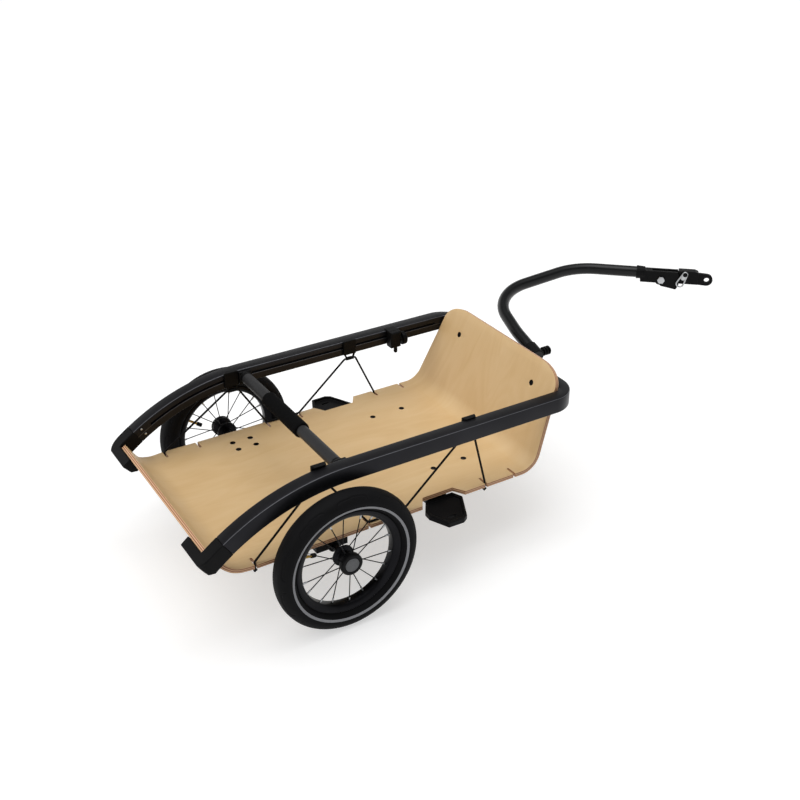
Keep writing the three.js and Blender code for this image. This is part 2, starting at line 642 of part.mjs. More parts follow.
// Corner caps on the tails of the rails, reaching in behind the lip
function endCap() {
  const innerRadius = RAIL_DROP_RADIUS - RAIL_HEIGHT;
  const turnOf = (length) => length / RAIL_DROP_RADIUS;
  const seam = RAIL_SEAM_ANGLE + turnOf(GAP);
  const legAngles = [CAP_END_ANGLE - turnOf(CAP_LEG_DEPTH), CAP_END_ANGLE];
  const bodyAngles = [...spread(seam, legAngles[0], 3), CAP_END_ANGLE];
  const body = prism(dropBand(RAIL_DROP_RADIUS, innerRadius, bodyAngles), "y", railInner, RAIL_OUTER);
  const legEnd = RAIL_OUTER - CAP_LEG_REACH;
  const leg = prism(dropBand(RAIL_DROP_RADIUS, innerRadius, legAngles), "y", legEnd, RAIL_OUTER);

  // Plug in the rail's hollow
  const fit = RAIL_WALL + GAP;
  const plugAngles = [RAIL_SEAM_ANGLE - turnOf(CAP_LEG_DEPTH), bodyAngles[1]];
  const plugBand = dropBand(RAIL_DROP_RADIUS - fit, innerRadius + fit, plugAngles);
  const plug = prism(plugBand, "y", railInner + GROOVE_DEPTH + fit, RAIL_OUTER - fit);

  // Rounded outer corner and chamfered foot
  const [backX] = dropPoint(RAIL_DROP_RADIUS, CAP_END_ANGLE);
  const cornerY = RAIL_OUTER - CAP_CORNER;
  const beyond = RAIL_HEIGHT;
  const corner = prism([
    ...arc(backX + CAP_CORNER, cornerY, CAP_CORNER, Math.PI, Math.PI / 2, 6),
    [backX + CAP_CORNER, RAIL_OUTER + beyond], [backX - beyond, RAIL_OUTER + beyond], [backX - beyond, cornerY],
  ], "z", 0, railTop);
  const [footX, footZ] = dropPoint(innerRadius, CAP_END_ANGLE);
  const [alongX, alongZ] = [Math.cos(CAP_END_ANGLE), Math.sin(CAP_END_ANGLE)];
  const chamfer = RAIL_HEIGHT * CAP_CHAMFER;
  const shave = prism([
    [footX + alongX * chamfer, footZ + alongZ * chamfer],
    [footX - alongZ * chamfer, footZ + alongX * chamfer],
    [footX - alongX * beyond, footZ - alongZ * beyond],
  ], "y", 0, RAIL_OUTER * 2);
  return cut(join(body, leg, plug), corner, shave);
}
const cap = endCap();
add("end_cap_left", cap, "plastic");
add("end_cap_right", mirrored(cap), "plastic");

// Brace across the rails with a foam sleeve, and its feet on the rails' inner faces
function brace() {
  const radius = BRACE_DIAMETER / 2;
  const footFace = railInner - GAP;
  const tubeEnd = footFace - BRACE_FOOT;
  const bore = radius - BRACE_WALL;
  const bar = ring([[bore, -tubeEnd], [radius, -tubeEnd], [radius, tubeEnd], [bore, tubeEnd]], 20);
  const grip = GRIP_DIAMETER / 2;
  const [gripStart, gripEnd] = [GRIP_CENTRE - GRIP_LENGTH / 2, GRIP_CENTRE + GRIP_LENGTH / 2];
  const soft = grip - radius;
  const sleeve = ring([
    [radius + GAP, gripStart], [grip - soft * 0.4, gripStart], [grip, gripStart + soft * 0.5],
    [grip, gripEnd - soft * 0.5], [grip - soft * 0.4, gripEnd], [radius + GAP, gripEnd],
  ], 22);
  const shoe = turned([
    [0, tubeEnd - BRACE_FOOT], [bore - GAP, tubeEnd - BRACE_FOOT], [bore - GAP, tubeEnd + GAP],
    [radius * 1.06, tubeEnd + GAP], [radius * 1.06, tubeEnd + BRACE_FOOT * 0.35],
    [radius * 1.18, tubeEnd + BRACE_FOOT * 0.6], [0, tubeEnd + BRACE_FOOT * 0.6],
  ], 20);
  const plateHalf = BRACE_DIAMETER * 0.6;
  const plateBack = tubeEnd + BRACE_FOOT * 0.5;
  const plate = prism(rectangle(-plateHalf, plateHalf, -RAIL_HEIGHT * 0.42, RAIL_HEIGHT * 0.42), "y", plateBack, footFace,
    GAP * 3);
  const foot = join(shoe, plate);
  for (const g of [bar, sleeve, foot]) g.translate(BRACE_X, 0, railMiddle);
  add("brace_tube", bar, "brace");
  add("brace_grip", sleeve, "foam");
  add("brace_foot_left", foot, "plastic");
  add("brace_foot_right", mirrored(foot), "plastic");
}
brace();

// Clips on the rails' inner faces, each with an eye that the cord runs through
const eyeZ = railTop - CLIP_EYE_DROP;
const eyeY = railInner - GAP - CLIP_THICKNESS / 2;
function clip(x) {
  const back = railInner - GAP;
  const front = back - CLIP_THICKNESS;
  const half = CLIP_WIDTH / 2;
  const top = railTop + GAP;
  const plate = prism(rectangle(x - half, x + half, railBottom + RAIL_EDGE, top + RAIL_EDGE), "y", front, back, GAP * 2);
  const hookReach = back + RAIL_WIDTH * 0.3;
  const hook = prism(rectangle(x - half, x + half, top, top + RAIL_EDGE), "y", front + GAP * 3, hookReach);
  const eyeHalf = CLIP_EYE_LENGTH / 2;
  const armWidth = CLIP_THICKNESS * 0.6;
  const arms = [1, -1].map((s) => prism([
    [x + s * half * 0.95, railBottom + RAIL_EDGE * 2], [x + s * (half * 0.95 - armWidth), railBottom + RAIL_EDGE * 2],
    [x + s * (eyeHalf - armWidth), eyeZ], [x + s * eyeHalf, eyeZ],
  ], "y", eyeY - armWidth / 2, eyeY + armWidth / 2));
  const eyeRadius = CLIP_EYE_DIAMETER / 2;
  const eye = rod([x - eyeHalf, eyeY, eyeZ], [x + eyeHalf, eyeY, eyeZ], eyeRadius, 12);
  const bore = rod([x - CLIP_WIDTH, eyeY, eyeZ], [x + CLIP_WIDTH, eyeY, eyeZ], CORD_DIAMETER / 2 + GAP, 12);
  return cut(join(plate, hook, ...arms, eye), bore);
}
CLIP_PLACES.left.forEach((x, k) => add(`cord_clip_left_${k ? "front" : "rear"}`, clip(x), "plastic"));
CLIP_PLACES.right.forEach((x, k) => add(`cord_clip_right_${k ? "front" : "rear"}`, mirrored(clip(x)), "plastic"));

// Lacing cord of one side, knotted under the tray at both ends
function lacing(clips) {
  const laceY = DECK_WIDTH / 2 - LACING_INSET;
  const onDeck = deckTop + CORD_DIAMETER / 2 + GAP;
  const knotZ = deckBottom - KNOT_DIAMETER / 2 - GAP;
  const eyeHalf = CLIP_EYE_LENGTH / 2 + CORD_DIAMETER;
  const bend = CORD_DIAMETER * 1.2;
  const corners = [
    [LACED.rear, laceY, knotZ],
    [LACED.rear, laceY, onDeck],
    [clips[0] - eyeHalf, eyeY, eyeZ],
    [clips[0] + eyeHalf, eyeY, eyeZ],
    [LACED.rearInner, laceY, onDeck],
    [LACED.frontInner, laceY, onDeck],
    [clips[1] - eyeHalf, eyeY, eyeZ],
    [clips[1] + eyeHalf, eyeY, eyeZ],
    [LACED.front, laceY, onDeck],
    [LACED.front, laceY, knotZ],
  ];
  const line = tube(rounded(corners, Array(corners.length - 2).fill(bend), 2), CORD_DIAMETER / 2, 8);
  const knots = [LACED.rear, LACED.front].map((x) => {
    const knot = new THREE.SphereGeometry(KNOT_DIAMETER / 2, 8, 6);
    knot.translate(x, laceY, knotZ);
    return knot;
  });
  return join(line, ...knots);
}
add("side_cord_left", lacing(CLIP_PLACES.left), "cord");
add("side_cord_right", mirrored(lacing(CLIP_PLACES.right)), "cord");

// Accessory clamp on the left rail: block, round knob and hanging pin
function clamp() {
  const back = railInner - GAP;
  const depth = RAIL_WIDTH * 0.8;
  const half = CLIP_WIDTH * 0.42;
  const knobRadius = RAIL_HEIGHT * 0.46;
  const [low, high] = [railBottom - RAIL_EDGE, railTop + RAIL_EDGE];
  const [x0, x1] = [CLAMP_X - half, CLAMP_X + half];
  const block = prism(rectangle(x0, x1, low, high), "y", back - depth, back, RAIL_EDGE);
  const top = railTop + GAP;
  const hook = prism(rectangle(x0, x1, top, high + GAP), "y", back - depth * 0.5, back + RAIL_WIDTH * 0.3);
  add("clamp_body", join(block, hook), "plastic");
  const pinX = CLAMP_X + half * 0.2;
  const pinY = back - knobRadius;
  const pinRadius = CLAMP_PIN_DIAMETER / 2;
  const pinFoot = low - GAP;
  const pin = turned([
    [0, -CLAMP_PIN_LENGTH], [pinRadius * 0.7, -CLAMP_PIN_LENGTH * 0.94], [pinRadius, -CLAMP_PIN_LENGTH * 0.82],
    [pinRadius, 0], [0, 0],
  ], 12);
  pin.rotateX(Math.PI / 2);
  pin.translate(pinX, pinY, pinFoot);
  add("clamp_pin", pin, "plastic");
  const knobFoot = x1 + GAP;
  const knob = turned([
    [0, 0], [knobRadius * 0.5, 0], [knobRadius * 0.5, depth * 0.1], [knobRadius, depth * 0.15],
    [knobRadius, depth * 0.5], [knobRadius * 0.85, depth * 0.6], [0, depth * 0.6],
  ], 16);
  knob.rotateZ(-Math.PI / 2);
  knob.translate(knobFoot, pinY, railMiddle - RAIL_EDGE);
  add("clamp_knob", knob, "plastic");
}
clamp();

// Receivers under the tray that take the axle pins, with their screws up through the ply
const receiverTop = deckBottom - GAP;
function receiver() {
  const low = receiverTop - RECEIVER_HEIGHT;
  const half = RECEIVER_LENGTH / 2;
  const block = prism(rectangle(-half, half, low, receiverTop), "y", RECEIVER_INNER, RECEIVER_OUTER - PLY, GAP * 4);
  const nose = rod([0, RECEIVER_INNER + PLY, wheelRadius], [0, RECEIVER_OUTER, wheelRadius], RECEIVER_HEIGHT * 0.62, 18);
  const trim = prism(rectangle(-RECEIVER_LENGTH, RECEIVER_LENGTH, receiverTop, railTop), "y", 0, RAIL_OUTER * 2);
  const bore = rod([0, RECEIVER_INNER - PLY, wheelRadius], [0, RECEIVER_OUTER + PLY, wheelRadius],
    AXLE_DIAMETER / 2 + GAP, 20);
  const screws = AXLE_HOLES.map(([x, y]) => {
    const screwTop = deckTop - PLY * 0.25;
    return rod([x, y, receiverTop - PLY * 0.5], [x, y, screwTop], HOLE_DIAMETER * 0.42, 12);
  });
  return join(cut(join(block, nose), trim, bore), ...screws);
}
add("axle_receiver_left", receiver(), "plastic");
add("axle_receiver_right", mirrored(receiver()), "plastic");
const beamEnd = RECEIVER_INNER - GAP;
const beamHalf = RECEIVER_LENGTH * 0.3;
const beamLow = receiverTop - RECEIVER_HEIGHT * 0.8;
add("axle_beam", prism(rectangle(-beamHalf, beamHalf, beamLow, receiverTop), "y", -beamEnd, beamEnd, GAP * 4), "rail");

// Cross-member under the tray with a side step on each end
const memberTop = receiverTop;
const memberLow = stepTop - STEP_THICKNESS;
function member() {
  const end = STEP_OUTLINE[0][1] - GAP;
  const [x0, x1] = [MEMBER_X - MEMBER_WIDTH / 2, MEMBER_X + MEMBER_WIDTH / 2];
  const w = MEMBER_WALL;
  const hole = rectangle(x0 + w, x1 - w, memberLow + w, memberTop - w);
  return prism(rectangle(x0, x1, memberLow, memberTop), "y", -end, end, 0, [hole]);
}
add("cross_member", member(), "rail");

function scaled(outline, share) {
  const [sx, sy] = outline.reduce(([a, b], [x, y]) => [a + x, b + y], [0, 0]);
  const [cx, cy] = [sx / outline.length, sy / outline.length];
  return outline.map(([x, y]) => [cx + (x - cx) * share, cy + (y - cy) * share]);
}

function step() {
  const plate = prism(STEP_OUTLINE, "z", memberLow, stepTop, GAP * 4);
  const well = prism(scaled(STEP_OUTLINE, 1 - STEP_RIM / MEMBER_WIDTH * 2), "z", stepTop - STEP_RECESS, stepTop + PLY);
  const { x, y, length, width } = STEP_SLOT;
  const slot = prism(rectangle(x - length / 2, x + length / 2, y, y + width), "z", memberLow - PLY, stepTop);
  const spigotHalf = MEMBER_WIDTH / 2 - MEMBER_WALL - GAP;
  const [z0, z1] = [memberLow + MEMBER_WALL + GAP, stepTop - STEP_RECESS];
  const inner = STEP_OUTLINE[0][1];
  const spigot = prism(rectangle(MEMBER_X - spigotHalf, MEMBER_X + spigotHalf, z0, z1), "y", inner - STEP_THICKNESS * 2,
    inner + STEP_THICKNESS);
  return join(cut(plate, well, slot), spigot);
}
add("side_step_left", step(), "plastic");
add("side_step_right", mirrored(step()), "plastic");

// Wedges with bolts that hold the panel to the rail in front of it
function panelMount() {
  const half = HOLE_DIAMETER;
  const rise = RAIL_HEIGHT * 0.36;
  const face = RAIL_FRONT - RAIL_WIDTH - GAP;
  const back = (z) => panelFaceAt(z) + plyAcross + GAP;
  const [y, z] = [PANEL_HOLE.y, panelHoleZ];
  const wedge = prism([[back(z - rise), z - rise], [face, z - rise], [face, z + rise], [back(z + rise), z + rise]], "y",
    y - half, y + half);
  const [nx, nz] = [Math.sin(PANEL_ANGLE), -Math.cos(PANEL_ANGLE)];
  const x = panelFaceAt(z);
  const bolt = rod([x + nx * PLY * 0.2, y, z + nz * PLY * 0.2], [x + nx * PLY * 1.3, y, z + nz * PLY * 1.3],
    HOLE_DIAMETER * 0.42, 12);
  return join(wedge, bolt);
}
add("panel_mount_left", panelMount(), "plastic");
add("panel_mount_right", mirrored(panelMount()), "plastic");

// Drawbar, its socket on the front rail and the ribbed pull knob that locks it
const vector = (p) => new THREE.Vector3(...p);
const barCorners = DRAWBAR_ROUTE.map(([x, y, z]) => [RAIL_FRONT + x, y, railMiddle + z]);
const barStart = vector(barCorners[0]);
const barWay = vector(barCorners[1]).sub(barStart).normalize();
const onBar = (d) => barStart.clone().addScaledVector(barWay, d).toArray();
const barRadius = DRAWBAR_DIAMETER / 2;
const barStations = rounded(barCorners, DRAWBAR_BENDS, 6);
const knobAt = vector(onBar(KNOB_PLACE));
const pinHole = rod([knobAt.x, knobAt.y, knobAt.z], [knobAt.x + SOCKET_DIAMETER * 2, knobAt.y, knobAt.z],
  KNOB_PIN_DIAMETER / 2 + GAP, 10);
const pinHoleInBar = rod([knobAt.x + barRadius * 0.3, knobAt.y, knobAt.z],
  [knobAt.x + SOCKET_DIAMETER * 2, knobAt.y, knobAt.z], KNOB_PIN_DIAMETER / 2 + GAP, 10);
add("drawbar_tube", cut(tube(barStations, barRadius, 12, DRAWBAR_WALL), pinHoleInBar), "drawbar");

function socket() {
  const outer = SOCKET_DIAMETER / 2;
  const sleeve = rod(onBar(0), onBar(SOCKET_LENGTH), outer, 18);
  const bore = rod(onBar(-SOCKET_LENGTH), onBar(SOCKET_LENGTH * 2), barRadius + GAP, 18);
  const plateBack = RAIL_FRONT + GAP;
  const middle = vector(onBar(SOCKET_LENGTH / 2));
  const [y0, y1] = [middle.y - SOCKET_LENGTH * 0.62, middle.y + SOCKET_LENGTH * 0.62];
  const edge = RAIL_HEIGHT * 0.44;
  const plate = prism(rectangle(y0, y1, railMiddle - edge, railMiddle + edge), "x", plateBack, plateBack + SOCKET_PLATE,
    GAP * 3);
  const web = prism(rectangle(plateBack + SOCKET_PLATE / 2, middle.x, middle.y - SOCKET_LENGTH * 0.3, middle.y
    + SOCKET_LENGTH * 0.42), "z", middle.z - outer * 0.7, middle.z + outer * 0.7);
  const nose = rod([knobAt.x, knobAt.y, knobAt.z], [knobAt.x + outer + SOCKET_PLATE / 2, knobAt.y, knobAt.z],
    KNOB_DIAMETER * 0.36, 12);
  return cut(join(sleeve, plate, web, nose), bore, pinHole);
}
add("drawbar_socket", socket(), "plastic");

function knob() {
  const radius = KNOB_DIAMETER / 2;
  const start = SOCKET_DIAMETER / 2 + SOCKET_PLATE / 2 + GAP;
  const waist = radius * 0.72;
  const ribs = 3;
  const pitch = KNOB_LENGTH / ribs;
  const pin = KNOB_PIN_DIAMETER / 2;
  const pinTip = barRadius + GAP * 4;
  const profile = [[0, pinTip], [pin, pinTip], [pin, start]];
  for (let k = 0; k < ribs; k += 1) {
    const y = start + pitch * k;
    profile.push([waist, y], [radius, y + pitch * 0.25], [radius, y + pitch * 0.65], [waist, y + pitch * 0.85]);
  }
  profile.push([waist, start + KNOB_LENGTH], [0, start + KNOB_LENGTH]);
  const g = turned(profile, 14);
  g.rotateZ(-Math.PI / 2);
  g.translate(...knobAt.toArray());
  return g;
}
add("drawbar_knob", knob(), "plastic");

// Hitch: yoke on the drawbar, tongue that takes the bicycle's axle, bolt and nut
const [lastBend, lastCorner] = barCorners.slice(-2);
const barEnd = vector(lastCorner);
const hitchWay = barEnd.clone().sub(vector(lastBend)).setZ(0).normalize();
const hitchTurn = Math.atan2(hitchWay.y, hitchWay.x);
const hitch = new THREE.Group();
hitch.position.copy(barEnd);
hitch.rotation.z = hitchTurn;
trailer.add(hitch);
const pivotBore = rod([PIVOT.x, -YOKE_THICKNESS, PIVOT.z], [PIVOT.x, YOKE_THICKNESS, PIVOT.z],
  HITCH_BOLT_DIAMETER / 2 + GAP, 12);

function aroundPivot(radius, high, low) {
  const [from, to] = [high, low].map((z) => Math.asin((z - PIVOT.z) / radius));
  return arc(PIVOT.x, PIVOT.z, radius, from, to, 8);
}

function yoke() {
  const outline = [
    [0, YOKE_BOTTOM], [PIVOT.x - YOKE_THICKNESS * 0.2, YOKE_BOTTOM], [PIVOT.x, YOKE_CHIN * 0.8],
    ...aroundPivot(PIVOT_RADIUS, YOKE_TOP, YOKE_CHIN).reverse(), [0, YOKE_TOP],
  ];
  const thick = YOKE_THICKNESS / 2;
  const block = prism(outline, "y", -thick, thick, GAP * 4);
  const slotHalf = TONGUE_THICKNESS / 2 + GAP;
  const slotStart = PIVOT.x - PIVOT_RADIUS / 2;
  const slot = prism(rectangle(slotStart, AXLE_EYE.x, YOKE_CHIN * 2, YOKE_TOP * 2), "y", -slotHalf, slotHalf);
  const collarRadius = barRadius + GAP + YOKE_WALL;
  const collar = rod([-COLLAR_LENGTH / 2, 0, 0], [COLLAR_LENGTH / 2, 0, 0], collarRadius, 18, collarRadius * 0.9);
  const bore = rod([-COLLAR_LENGTH, 0, 0], [GAP, 0, 0], barRadius + GAP, 18);
  return cut(join(block, collar), slot, bore, pivotBore);
}
add("hitch_yoke", yoke(), "plastic", hitch);

const hookPlane = -YOKE_THICKNESS / 2 - HOOK_WIRE / 2 - GAP * 2;
function tongue() {
  const eye = PIVOT_RADIUS * 0.4;
  const blade = prism([
    ...arc(PIVOT.x, PIVOT.z, eye, Math.PI * 1.5, Math.PI * 0.5, 6), [HOOK_PLACE.x, PIVOT.z + eye],
    [HOOK_PLACE.x, TONGUE_BOTTOM + GAP],
  ], "y", -TONGUE_THICKNESS / 2, TONGUE_THICKNESS / 2);
  const { x: axleX, z: axleZ, radius: axleRadius } = AXLE_EYE;
  const shoulder = PIVOT_RADIUS + GAP * 3;
  const block = prism([
    ...aroundPivot(shoulder, YOKE_TOP, TONGUE_BOTTOM), [axleX - TONGUE_BLOCK, TONGUE_BOTTOM],
    [axleX - TONGUE_BLOCK, YOKE_TOP], [axleX - TONGUE_BLOCK * 1.4, TONGUE_TOP],
    [PIVOT.x + shoulder * 0.9, TONGUE_TOP],
  ], "y", -TONGUE_BLOCK / 2, TONGUE_BLOCK / 2, GAP * 3);
  const plate = prism([
    [HOOK_PLACE.x, TONGUE_BOTTOM], ...arc(axleX, axleZ, axleRadius, -Math.PI / 2, Math.PI / 2, 8),
    [HOOK_PLACE.x, YOKE_TOP],
  ], "y", -TONGUE_THICKNESS / 2, TONGUE_THICKNESS / 2);
  const axleHole = rod([axleX, -YOKE_THICKNESS, axleZ], [axleX, YOKE_THICKNESS, axleZ], BICYCLE_AXLE_DIAMETER / 2, 16);
  const lugRadius = HOOK_WIRE * 0.6;
  const headFace = hookPlane - HOOK_WIRE / 2 - GAP;
  const lugEnd = headFace - HOOK_WIRE / 2;
  const lug = rod([HOOK_PLACE.x, lugEnd, HOOK_PLACE.z], [HOOK_PLACE.x, 0, HOOK_PLACE.z], lugRadius, 8);
  const boss = rod([HOOK_PLACE.x, hookPlane + HOOK_WIRE / 2 + GAP, HOOK_PLACE.z], [HOOK_PLACE.x, 0, HOOK_PLACE.z],
    HOOK_WIRE * 1.5, 12);
  const lugHead = rod([HOOK_PLACE.x, lugEnd, HOOK_PLACE.z], [HOOK_PLACE.x, headFace, HOOK_PLACE.z], HOOK_WIRE * 1.5, 12);
  return join(cut(join(blade, block, plate), pivotBore, axleHole), boss, lug, lugHead);
}
add("hitch_tongue", tongue(), "plastic", hitch);

function hexagon() {
  return arc(PIVOT.x, PIVOT.z, HITCH_BOLT_DIAMETER * 1.12, 0, (Math.PI * 5) / 3, 5);
}
const cheek = YOKE_THICKNESS / 2 + GAP;
const headHeight = HITCH_BOLT_DIAMETER * 0.65;
const shank = rod([PIVOT.x, -cheek - GAP, PIVOT.z], [PIVOT.x, cheek + headHeight, PIVOT.z], HITCH_BOLT_DIAMETER / 2, 12);
add("hitch_bolt", join(prism(hexagon(), "y", -cheek - headHeight, -cheek), shank), "steel", hitch);
const thread = arc(PIVOT.x, PIVOT.z, HITCH_BOLT_DIAMETER / 2 + GAP, 0, (Math.PI * 11) / 6, 11);
add("hitch_nut", prism(hexagon(), "y", cheek, cheek + headHeight, 0, [thread]), "steel", hitch);

// Snap hook hanging from the lug of the tongue, its top end on the lug
function snapHook() {
  const wire = HOOK_WIRE / 2;
  const low = HOOK_WIDTH / 2 - wire;
  const high = HOOK_WIRE * 1.4;
  const reach = HOOK_LENGTH - low - high - wire * 2;
  const loop = [...arc(0, -reach, low, Math.PI, Math.PI * 2, 7), ...arc(0, 0, high, 0, Math.PI, 7)];
  const stations = [...loop, loop[0]].map(([x, z]) => [x, 0, z]);
  const ringShape = new THREE.Shape(circle(wire, 8).map((p) => new THREE.Vector2(...p)));
  const path = new THREE.CatmullRomCurve3(stations.slice(0, -1).map(vector), true, "centripetal");
  const g = new THREE.ExtrudeGeometry(ringShape, { steps: 28, bevelEnabled: false, extrudePath: path });
  g.rotateY(HOOK_LEAN);
  g.translate(HOOK_PLACE.x, hookPlane, HOOK_PLACE.z);
  return g;
}
add("safety_hook", snapHook(), "steel", hitch);

// The part's own frame: on the ground, on the centre line, midway between its two ends
trailer.updateMatrixWorld(true);
const whole = new THREE.Box3().setFromObject(trailer);
trailer.position.x = -(whole.min.x + whole.max.x) / 2;

export default trailer;
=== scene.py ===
import json
import math

import bmesh
import bpy
from mathutils import Matrix, Vector, geometry, noise


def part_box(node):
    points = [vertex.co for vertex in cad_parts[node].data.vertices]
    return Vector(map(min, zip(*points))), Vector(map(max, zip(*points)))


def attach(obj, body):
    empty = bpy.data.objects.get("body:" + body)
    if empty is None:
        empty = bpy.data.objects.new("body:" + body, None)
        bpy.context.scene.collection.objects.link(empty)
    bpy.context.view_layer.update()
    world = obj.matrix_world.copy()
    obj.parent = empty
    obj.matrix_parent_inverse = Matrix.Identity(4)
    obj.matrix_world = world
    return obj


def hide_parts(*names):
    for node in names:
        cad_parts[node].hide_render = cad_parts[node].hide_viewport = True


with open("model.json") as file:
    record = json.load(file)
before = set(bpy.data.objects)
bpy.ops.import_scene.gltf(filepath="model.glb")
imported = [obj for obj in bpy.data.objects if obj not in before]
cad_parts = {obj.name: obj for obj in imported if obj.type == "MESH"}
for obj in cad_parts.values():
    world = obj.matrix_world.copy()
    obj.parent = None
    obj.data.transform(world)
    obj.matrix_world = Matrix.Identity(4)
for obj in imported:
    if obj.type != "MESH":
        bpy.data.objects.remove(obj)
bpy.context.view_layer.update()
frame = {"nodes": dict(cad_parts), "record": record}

# Camera: a 52 mm lens at the height of a standing person's chest, behind and to the right of the
# trailer, looking down at it. Lengths below are millimetres from the middle of the wheel axle,
# on the ground: x forward, y to the left, z up.
body_of_node = {n: b for b, members in frame["record"]["behaviour"]["bodies"].items() for n in members}
tyre_low, tyre_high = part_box("tyre_left")
axle_x = (tyre_low.x + tyre_high.x) / 2


def place(x, y, z):
    return Vector((axle_x + x / 1000, y / 1000, z / 1000))


CAMERA = {"lens": 51.642, "place": (-791.28, -1756.41, 1415.04), "heading": 1.023, "down": 0.510,
          "roll": -0.002}
camera_data = bpy.data.cameras.new("photographer")
camera_data.sensor_width = 36
camera_data.lens = CAMERA["lens"]
camera = bpy.data.objects.new("photographer", camera_data)
bpy.context.scene.collection.objects.link(camera)
turn = Matrix.Rotation(CAMERA["heading"] - math.pi / 2, 4, "Z")
turn = turn @ Matrix.Rotation(math.pi / 2 - CAMERA["down"], 4, "X")
roll = Matrix.Rotation(CAMERA["roll"], 4, "Z")
camera.matrix_world = Matrix.Translation(place(*CAMERA["place"])) @ turn @ roll
bpy.context.scene.camera = camera
bpy.context.scene.view_settings.view_transform = "Standard"


# Studio: white paper on the floor of a grey room with a white ceiling, one soft key light behind and
# a softbox overhead. The paper is white to the eye and takes only the soft grey shadow under the trailer.
def linear(colour):
    parts = [int(colour[k:k + 2], 16) / 255 for k in (1, 3, 5)]
    return [c / 12.92 if c <= 0.04045 else ((c + 0.055) / 1.055) ** 2.4 for c in parts] + [1.0]


def add_node(tree, kind, settings=None, inputs=None, ramp=()):
    """A node with its settings, its inputs as values or links, and a ramp's pairs of step and colour."""
    node = tree.nodes.new(kind)
    for name, value in (settings or {}).items():
        setattr(node, name, value)
    for socket, value in (inputs or {}).items():
        if isinstance(value, bpy.types.NodeSocket):
            tree.links.new(value, node.inputs[socket])
        else:
            node.inputs[socket].default_value = value
    for _ in ramp[2:]:
        node.color_ramp.elements.new(0.5)
    for k, (step, colour) in enumerate(ramp):
        node.color_ramp.elements[k].position = step
        node.color_ramp.elements[k].color = colour
    return node


def finish_of(name, colour, roughness, metallic=0.0, **more):
    finish = bpy.data.materials.new(name)
    finish.use_nodes = True
    tree = finish.node_tree
    shader = tree.nodes["Principled BSDF"]
    shader.inputs["Base Color"].default_value = linear(colour)
    shader.inputs["Roughness"].default_value = roughness
    shader.inputs["Metallic"].default_value = metallic
    for socket, value in more.items():
        shader.inputs[socket.replace("_", " ")].default_value = value
    return finish, tree, shader


world = bpy.data.worlds.new("studio_room")
bpy.context.scene.world = world
world.use_nodes = True
room = world.node_tree


def seen_rays(tree):
    """1 for what the eye, a mirror or a clear thing shows, 0 for light that only falls on something."""
    path = add_node(tree, "ShaderNodeLightPath")
    mirrored = add_node(tree, "ShaderNodeMath", {"operation": "MAXIMUM"},
                        {0: path.outputs["Is Glossy Ray"], 1: path.outputs["Is Transmission Ray"]})
    return add_node(tree, "ShaderNodeMath", {"operation": "MAXIMUM"},
                    {0: path.outputs["Is Camera Ray"], 1: mirrored.outputs[0]}).outputs[0]


toward = add_node(room, "ShaderNodeTexCoord")
direction = add_node(room, "ShaderNodeSeparateXYZ", inputs={0: toward.outputs["Generated"]})
# Greys by the height of a direction, 0 at the horizon and 1 overhead: as they light, and as they are seen
LIT_GREYS = [(0.0, 0.12), (0.45, 0.22), (1.0, 0.62)]
SHOWN_GREYS = [(0.0, 1.0), (0.33, 1.0), (0.42, 0.14), (0.72, 0.16), (0.93, 1.0)]
ceiling, walls = [add_node(room, "ShaderNodeValToRGB", inputs={0: direction.outputs[2]},
                           ramp=[(step, (grey, grey, grey, 1)) for step, grey in greys]).outputs[0]
                  for greys in (LIT_GREYS, SHOWN_GREYS)]
from_behind = add_node(room, "ShaderNodeMapRange",
                       inputs={0: direction.outputs[0], 1: 0.0, 2: -1.0, 3: 0.0, 4: 0.62})
ambient = add_node(room, "ShaderNodeVectorMath", {"operation": "ADD"},
                   {0: ceiling, 1: from_behind.outputs[0]})
falls = add_node(room, "ShaderNodeBackground", inputs={"Color": ambient.outputs[0], "Strength": 1.0})
shows = add_node(room, "ShaderNodeBackground", inputs={"Color": walls, "Strength": 1.0})
both = add_node(room, "ShaderNodeMixShader",
                inputs={0: seen_rays(room), 1: falls.outputs[0], 2: shows.outputs[0]})
room.links.new(both.outputs[0], room.nodes["World Output"].inputs["Surface"])

paper, tree, shader = finish_of("white_paper", "#cfcfcf", 0.9)
soft = add_node(tree, "ShaderNodeBsdfDiffuse", inputs={"Color": linear("#cccccc")})
glow = add_node(tree, "ShaderNodeEmission", inputs={"Color": linear("#ffffff"), "Strength": 0.52})
lift = add_node(tree, "ShaderNodeAddShader", inputs={0: soft.outputs[0], 1: glow.outputs[0]})
shown = add_node(tree, "ShaderNodeMixShader",
                 inputs={0: seen_rays(tree), 1: shader.outputs[0], 2: lift.outputs[0]})
tree.links.new(shown.outputs[0], tree.nodes["Material Output"].inputs["Surface"])
floor_mesh = bpy.data.meshes.new("paper_floor")
FLOOR_HALF = 9
floor_corners = [(x * FLOOR_HALF, y * FLOOR_HALF, 0) for x, y in ((-1, -1), (1, -1), (1, 1), (-1, 1))]
floor_mesh.from_pydata(floor_corners, [], [(0, 1, 2, 3)])
floor = bpy.data.objects.new("paper_floor", floor_mesh)
floor_mesh.materials.append(paper)
bpy.context.scene.collection.objects.link(floor)

softbox_data = bpy.data.lights.new("overhead_softbox", "AREA")
softbox_data.size = 1.5
softbox_data.energy = 14
key_data = bpy.data.lights.new("rear_key", "SUN")
key_data.angle = math.radians(60)
key_data.energy = 1.0
for lamp_data, spot in ((softbox_data, (700, 0, 2500)), (key_data, (-700, 250, 2500))):
    lamp = bpy.data.objects.new(lamp_data.name, lamp_data)
    lamp.location = place(*spot)
    lamp.rotation_euler = (place(200, 0, 150) - place(*spot)).to_track_quat("-Z", "Y").to_euler()
    bpy.context.scene.collection.objects.link(lamp)


